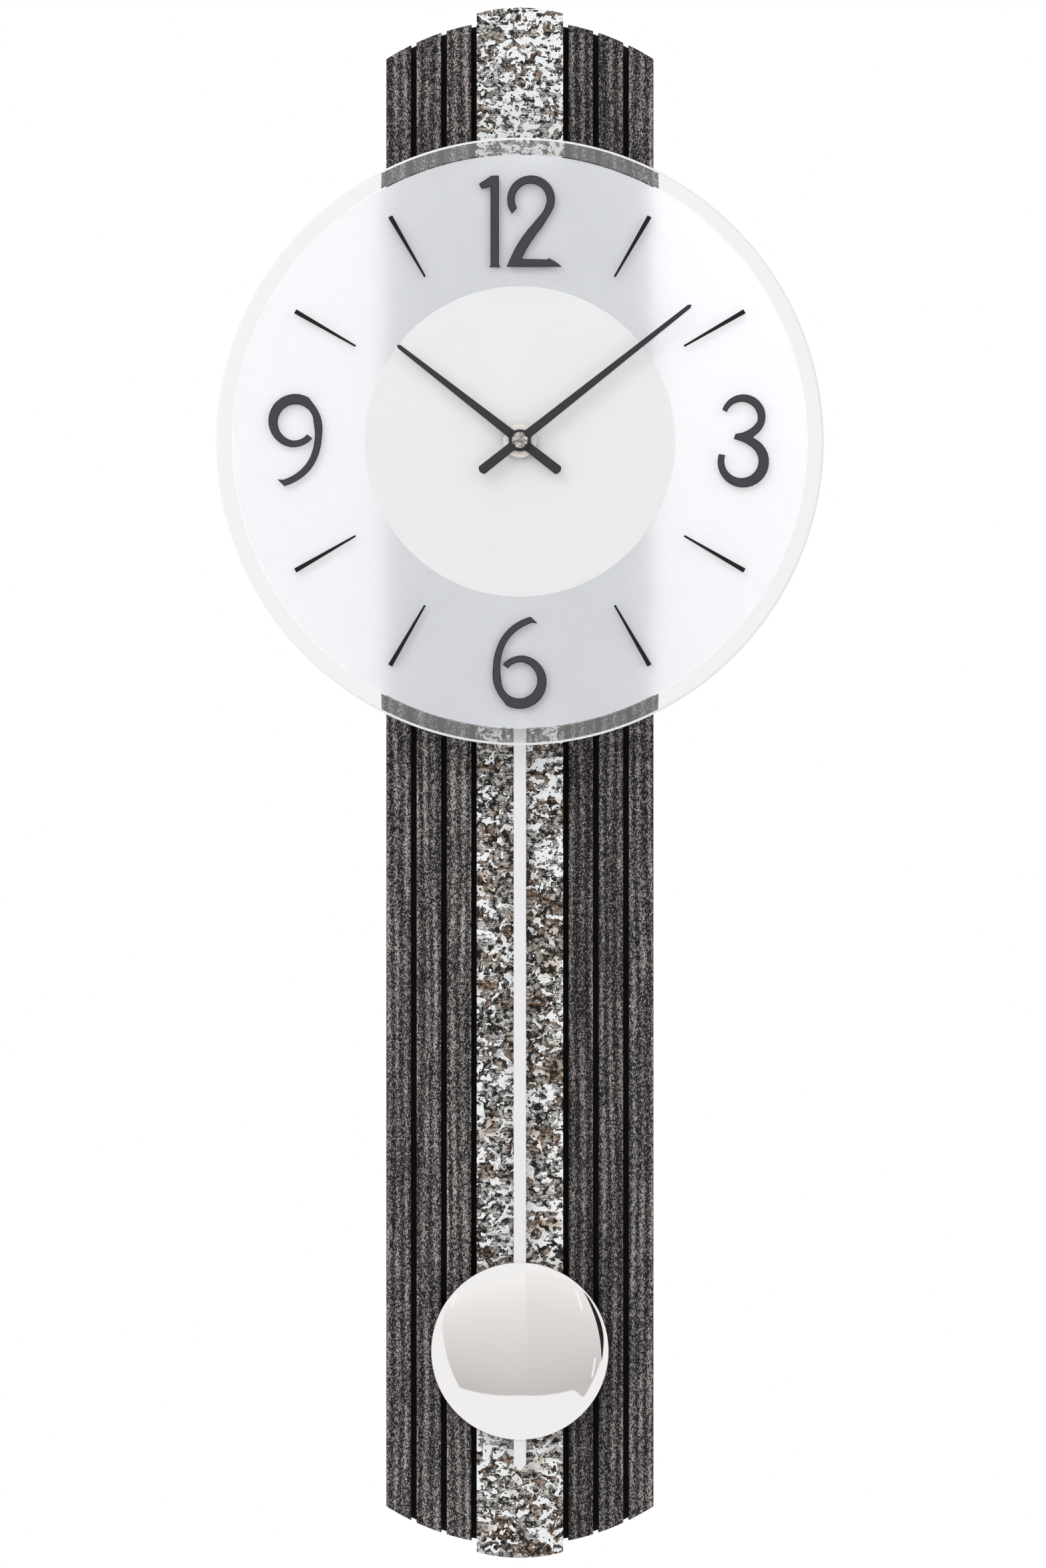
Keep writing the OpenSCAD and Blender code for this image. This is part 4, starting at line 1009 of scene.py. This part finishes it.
# %% Strip surfaces
STRIP_ARCH = 72 * MM
STRIP_BEVEL = 0.2 * MM
upper_low, upper_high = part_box("stone_upper")
lower_low, lower_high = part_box("stone_lower")
ENDS = {"upper": (level(upper_low.z), arch(upper_high.z, 0.0, 1, STRIP_ARCH)),
        "lower": (arch(lower_low.z, 0.0, -1, STRIP_ARCH), level(lower_high.z))}
LAYERS = (("stone_", "stone_veneer", 0.22 * MM), ("strip_rail_", "board_black", 0.4 * MM))
for kind, finish, rounding in LAYERS:
    for half, ends in ENDS.items():
        node = kind + half
        low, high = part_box(node)
        loop = rounded_bar(low.x, high.x, *depths(node), rounding, 3, 24)
        strip = new_piece(node + "_cut", *bar_surface(loop, *ends, 24), [finish], node)
        rounded(strip, STRIP_BEVEL, END_ANGLE)

# %% [markdown]
# ## Glass dial
# A disc with a hole, turned from one profile. The bevel's ridges are crisp, and the outer edge is broken by a
# narrow ground band, so that it is safe to handle. That band scatters light, which draws the bright line round
# the rim. The faces are told apart by how far they are from the axis and from the wall.

# %% Glass surface
GLASS_BEVEL = 7.3 * MM
GLASS_DROP = 1.96 * MM
EDGE_WIDTH = 1.05 * MM
ARRIS = 0.22 * MM
BORE = 4.6 * MM
DIAL_TURNS = 288
dial = (middle("dial_glass").x, dial_z)
back, front = depths("dial_glass")
rim = half_width("dial_glass")
flat = rim - GLASS_BEVEL
bevel_end = front - GLASS_DROP * (1 - EDGE_WIDTH / GLASS_BEVEL)
profile = [(BORE, back + ARRIS), (BORE, front - ARRIS), (BORE + ARRIS, front), (flat * 0.5, front),
           (flat, front), (rim - EDGE_WIDTH, bevel_end), (rim, bevel_end - EDGE_WIDTH), (rim, back + ARRIS),
           (rim - ARRIS, back), (flat * 0.5, back), (BORE + ARRIS, back)]
glass = turned("glass_disc", profile, dial, ["dial_glass", "glass_bevel", "glass_edge"], "dial_glass",
               DIAL_TURNS, crease=7)
centres = of_faces(glass.data, "center") - (dial[0], 0, dial[1])
reach, depth = np.hypot(centres[:, 0], centres[:, 2]), -centres[:, 1]
on_bevel = ((reach > flat) & (depth > bevel_end)).astype(np.int32)
on_edge = (reach > rim - EDGE_WIDTH * 0.9).astype(np.int32)
glass.data.polygons.foreach_set("material_index", np.maximum(on_bevel, on_edge * 2))
print("bevel faces", on_bevel.sum(), "and edge faces", on_edge.sum())

# %% Prints
PRINT_CLEAR = 0.02 * MM
RING_PART = 0.04 * MM
BORE_CLEAR = 0.1 * MM


def flat_ring(inner, outer):
    """Profile of a flat ring as thick as the prints, kept clear of the glass."""
    back, front = depths("dial_ring_print")
    front -= PRINT_CLEAR
    return [(inner, back), (inner, front), (outer, front), (outer, back)]


ring_in, ring_out = half_width("dial_centre_print"), half_width("dial_ring_print")
ring = turned("frosted_ring", flat_ring(ring_in + RING_PART, ring_out), dial,
              ["frosted_print", "print_back"], "dial_ring_print", DIAL_TURNS)
front_first(ring.data)
turned("centre_disc", flat_ring(BORE + BORE_CLEAR, ring_in), dial,
       ["centre_print"], "dial_centre_print", DIAL_TURNS)

# %% [markdown]
# ## Hour marks and hands
# These are cut from sheet and lacquered. A fine near-black line runs round each. It is painted shade on the
# sides and
# the rounded rim: the eased copy gives its rim the second finish, so the line turns with the view.

# %% Marks and hands
# Widths of the eased rims. Each rim carries painted shade, near black.
RIM_SHADE_WIDTHS = {"numeral_12": 0.3, "numeral_3": 0.3, "numeral_6": 0.3, "numeral_9": 0.3, "hour_batons": 0.22,
            "hour_hand": 0.25, "minute_hand": 0.25}
for node, width in RIM_SHADE_WIDTHS.items():
    face = "baton_dark" if node == "hour_batons" else slot_of[node]
    eased(node, [face, "rim_painted_shade"], width * MM)
print(len(RIM_SHADE_WIDTHS), "marks and hands")

# %% [markdown]
# ## Cap and nut
# The cap that closes the hands is a small turned dome. Its profile is an arc that meets a short rim. The nut
# below it holds the glass and is an eased copy of the CAD's own solid, with its spanner slots.

# %% Cap and nut
DOME_RADIUS = 4.06 * MM
CAP_ROUND = 0.15 * MM
back, front = depths("hand_cap")
cap_rim = half_width("hand_cap")
rim_angle = math.degrees(math.acos((cap_rim - 0.1 * MM) / DOME_RADIUS))
dome = arc((0.0, front - DOME_RADIUS), DOME_RADIUS, 90, rim_angle, 16)
rim_points = [(cap_rim, dome[-1][1] - 0.12 * MM), (cap_rim, back + CAP_ROUND), (cap_rim - CAP_ROUND, back),
              (0.0, back)]
turned("domed_cap", np.concatenate((dome, rim_points)), (cap.x, dial_z), ["cap_silver"], "hand_cap", 72)
eased("dial_nut", ["nut_champagne"], 0.15 * MM)

# %% [markdown]
# ## Pendulum rod
# A flat bar with its edges rounded and a blunt point. The surface is the slat's formula with one more
# function: the share of the full width at each height.

# %% Rod surface
TIP_LENGTH = 2.4 * MM
TIP_SHARE = 0.8 / 5.6
ROD_ROUND = 0.3 * MM
low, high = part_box("pendulum_rod")
loop = rounded_bar(low.x, high.x, *depths("pendulum_rod"), ROD_ROUND)
tip_end = low.z + TIP_LENGTH
heights = np.concatenate(([low.z, low.z + 0.08 * MM], np.linspace(low.z + ROD_ROUND, tip_end, 5),
                          np.linspace(low.z + 20 * MM, high.z, 20)))
shares = np.interp(heights, [low.z, low.z + ROD_ROUND, tip_end, high.z], [TIP_SHARE, 0.3, 1.0, 1.0])
points, faces = bar_surface(loop, level(0.0), level(1.0), len(heights))
points = points.reshape(len(heights), len(loop), 3)
points[:, :, 0] *= shares[:, None]
points[:, :, 2] = heights[:, None]
rounded(new_piece("flat_rod", points, faces, ["rod_silver"], "pendulum_rod"), 0.15 * MM, END_ANGLE)

# %% [markdown]
# ## Bob
# The bob is pressed from sheet into a shallow dome whose rim turns back in a tight roll. Its profile is three
# curves that meet without a corner: the dome's arc, the roll's arc tangent to it, and the skirt. The inner
# wall is the same dome one sheet thickness smaller. The roll's centre lies where two distances hold: the
# roll's radius inside the skirt, and the dome's radius less the roll's from the dome's centre.

# %% Bob surface
SHEET = 0.8 * MM
ROLL = 0.9 * MM
DOME_RISE = 11.5 * MM
SKIRT_ROUND = 0.15 * MM
PLATE_EDGE = 0.2 * MM
back, front = depths("bob_shell")
bob = (middle("bob_shell").x, middle("bob_shell").z)
bob_radius = half_width("bob_shell")
dome_radius = (bob_radius ** 2 + DOME_RISE ** 2) / 2 / DOME_RISE
dome_centre = front - dome_radius
roll_depth = dome_centre + math.sqrt((dome_radius - ROLL) ** 2 - (bob_radius - ROLL) ** 2)
meet = math.degrees(math.atan2(roll_depth - dome_centre, bob_radius - ROLL))
skirt_in = bob_radius - SHEET
inner_radius = dome_radius - SHEET
inner_meet = math.degrees(math.acos(skirt_in / inner_radius))
profile = np.concatenate((
    arc((0.0, dome_centre), dome_radius, 90, meet, 40),
    arc((bob_radius - ROLL, roll_depth), ROLL, meet, 0, 8)[1:],
    [(bob_radius, back + PLATE_EDGE), (bob_radius - PLATE_EDGE, back), (skirt_in + SKIRT_ROUND, back),
     (skirt_in, back + SKIRT_ROUND)],
    arc((0.0, dome_centre), inner_radius, inner_meet, 90, 24)))
turned("bob_dome", profile, bob, ["bob_chrome"], "bob_shell", 256)

back, front = depths("bob_back_plate")
plate = half_width("bob_back_plate")
profile = [(0.0, back), (plate - PLATE_EDGE, back), (plate, back + PLATE_EDGE), (plate, front - PLATE_EDGE),
           (plate - PLATE_EDGE, front), (0.0, front)]
turned("bob_back_disc", profile, bob, ["bob_chrome"], "bob_back_plate", 192)

# %% [markdown]
# ## Felt pads and battery
# The pads are discs of felt, rounded where their rim meets the wall. The battery is turned too, about X: its
# points are made about the depth axis and the axes then change places. Each end of its profile is a list of
# (radius, distance from that end) in millimetres.

# %% Pads and battery
PAD_RADIUS = 7.0 * MM
PAD_ROUND = 0.45 * MM
PAD_TURNS = 64
low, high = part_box("wall_pads")
back, front = depths("wall_pads")
pad_rim = arc((PAD_RADIUS - PAD_ROUND, back + PAD_ROUND), PAD_ROUND, 270, 360, 5)
pad_profile = np.concatenate(([(0.0, back)], pad_rim, [(PAD_RADIUS, front), (0.0, front)]))
pad_faces = grid_faces(len(pad_profile), PAD_TURNS)
pads = [(turned_points(pad_profile, (x, z), PAD_TURNS).reshape(-1, 3), pad_faces)
        for x in (low.x + PAD_RADIUS, high.x - PAD_RADIUS) for z in (low.z + PAD_RADIUS, high.z - PAD_RADIUS)]
felt = new_piece("felt_pads", *joined(pads), ["black_felt"], "wall_pads")

CELL = 7.25
NUB = 2.75
CELL_TURNS = 96
minus_end = [(0.0, 0.0), (4.6, 0.0), (5.0, 0.25), (5.6, 0.3), (6.3, 0.02), (CELL - 0.25, 0.1), (CELL, 0.5)]
plus_end = [(CELL, 2.0), (CELL - 0.5, 1.2), (6.0, 1.05), (5.2, 1.35), (NUB + 0.2, 1.3), (NUB, 1.1),
            (NUB, 0.25), (NUB - 0.25, 0.0), (0.0, 0.0)]
plus_end = (0.0, battery_length) + np.array(plus_end) * (MM, -MM)
cell = np.concatenate((np.array(minus_end) * MM, plus_end))
points = turned_points(cell, (0.0, 0.0), CELL_TURNS)
axis = middle("battery")
points = np.stack((battery_low.x - points[..., 1], axis.y + points[..., 0], axis.z + points[..., 2]), axis=-1)
new_piece("battery_cell", points, grid_faces(len(cell), CELL_TURNS), ["battery_sleeve"], "battery")

# %% [markdown]
# ## Everything else
# The carrier, the movement's case and plates, the screws and springs keep their CAD shapes with eased edges.
# The width is what such a part has: half a millimetre on a moulded box, a tenth on a rivet. The wheels stay
# the CAD's own meshes, since their teeth are too fine to ease, and only take their finish.

# %% Eased parts
EASED = {
    "backboard": 0.6, "hanger_plate": 0.16, "hanger_screws": 0.1, "dial_carrier": 0.6, "carrier_screws": 0.12,
    "glass_pads": 0.25, "movement_front_case": 0.3, "movement_back_case": 0.35, "gear_plate": 0.12,
    "middle_plate": 0.12, "battery_plus_contact": 0.05, "battery_minus_contact": 0.05, "circuit_board": 0.06,
    "motor_stator": 0.06, "motor_coil": 0.4, "setting_knob": 0.16, "pendulum_lever": 0.22, "rod_hanger": 0.12,
    "hanger_rivets": 0.15, "bob_clip": 0.07, "clip_rivets": 0.12, "drive_coil": 0.25, "drive_magnet": 0.15,
    "lever_pin": 0.1, "quartz_crystal": 0.12}
for node, width in EASED.items():
    piece = eased(node, [slot_of[node]], width * MM)

kept = [node for node, thing in nodes.items() if not thing.hide_render]
for node in kept:
    coat(nodes[node].data, [slot_of[node]])
print("kept as in CAD:", kept)
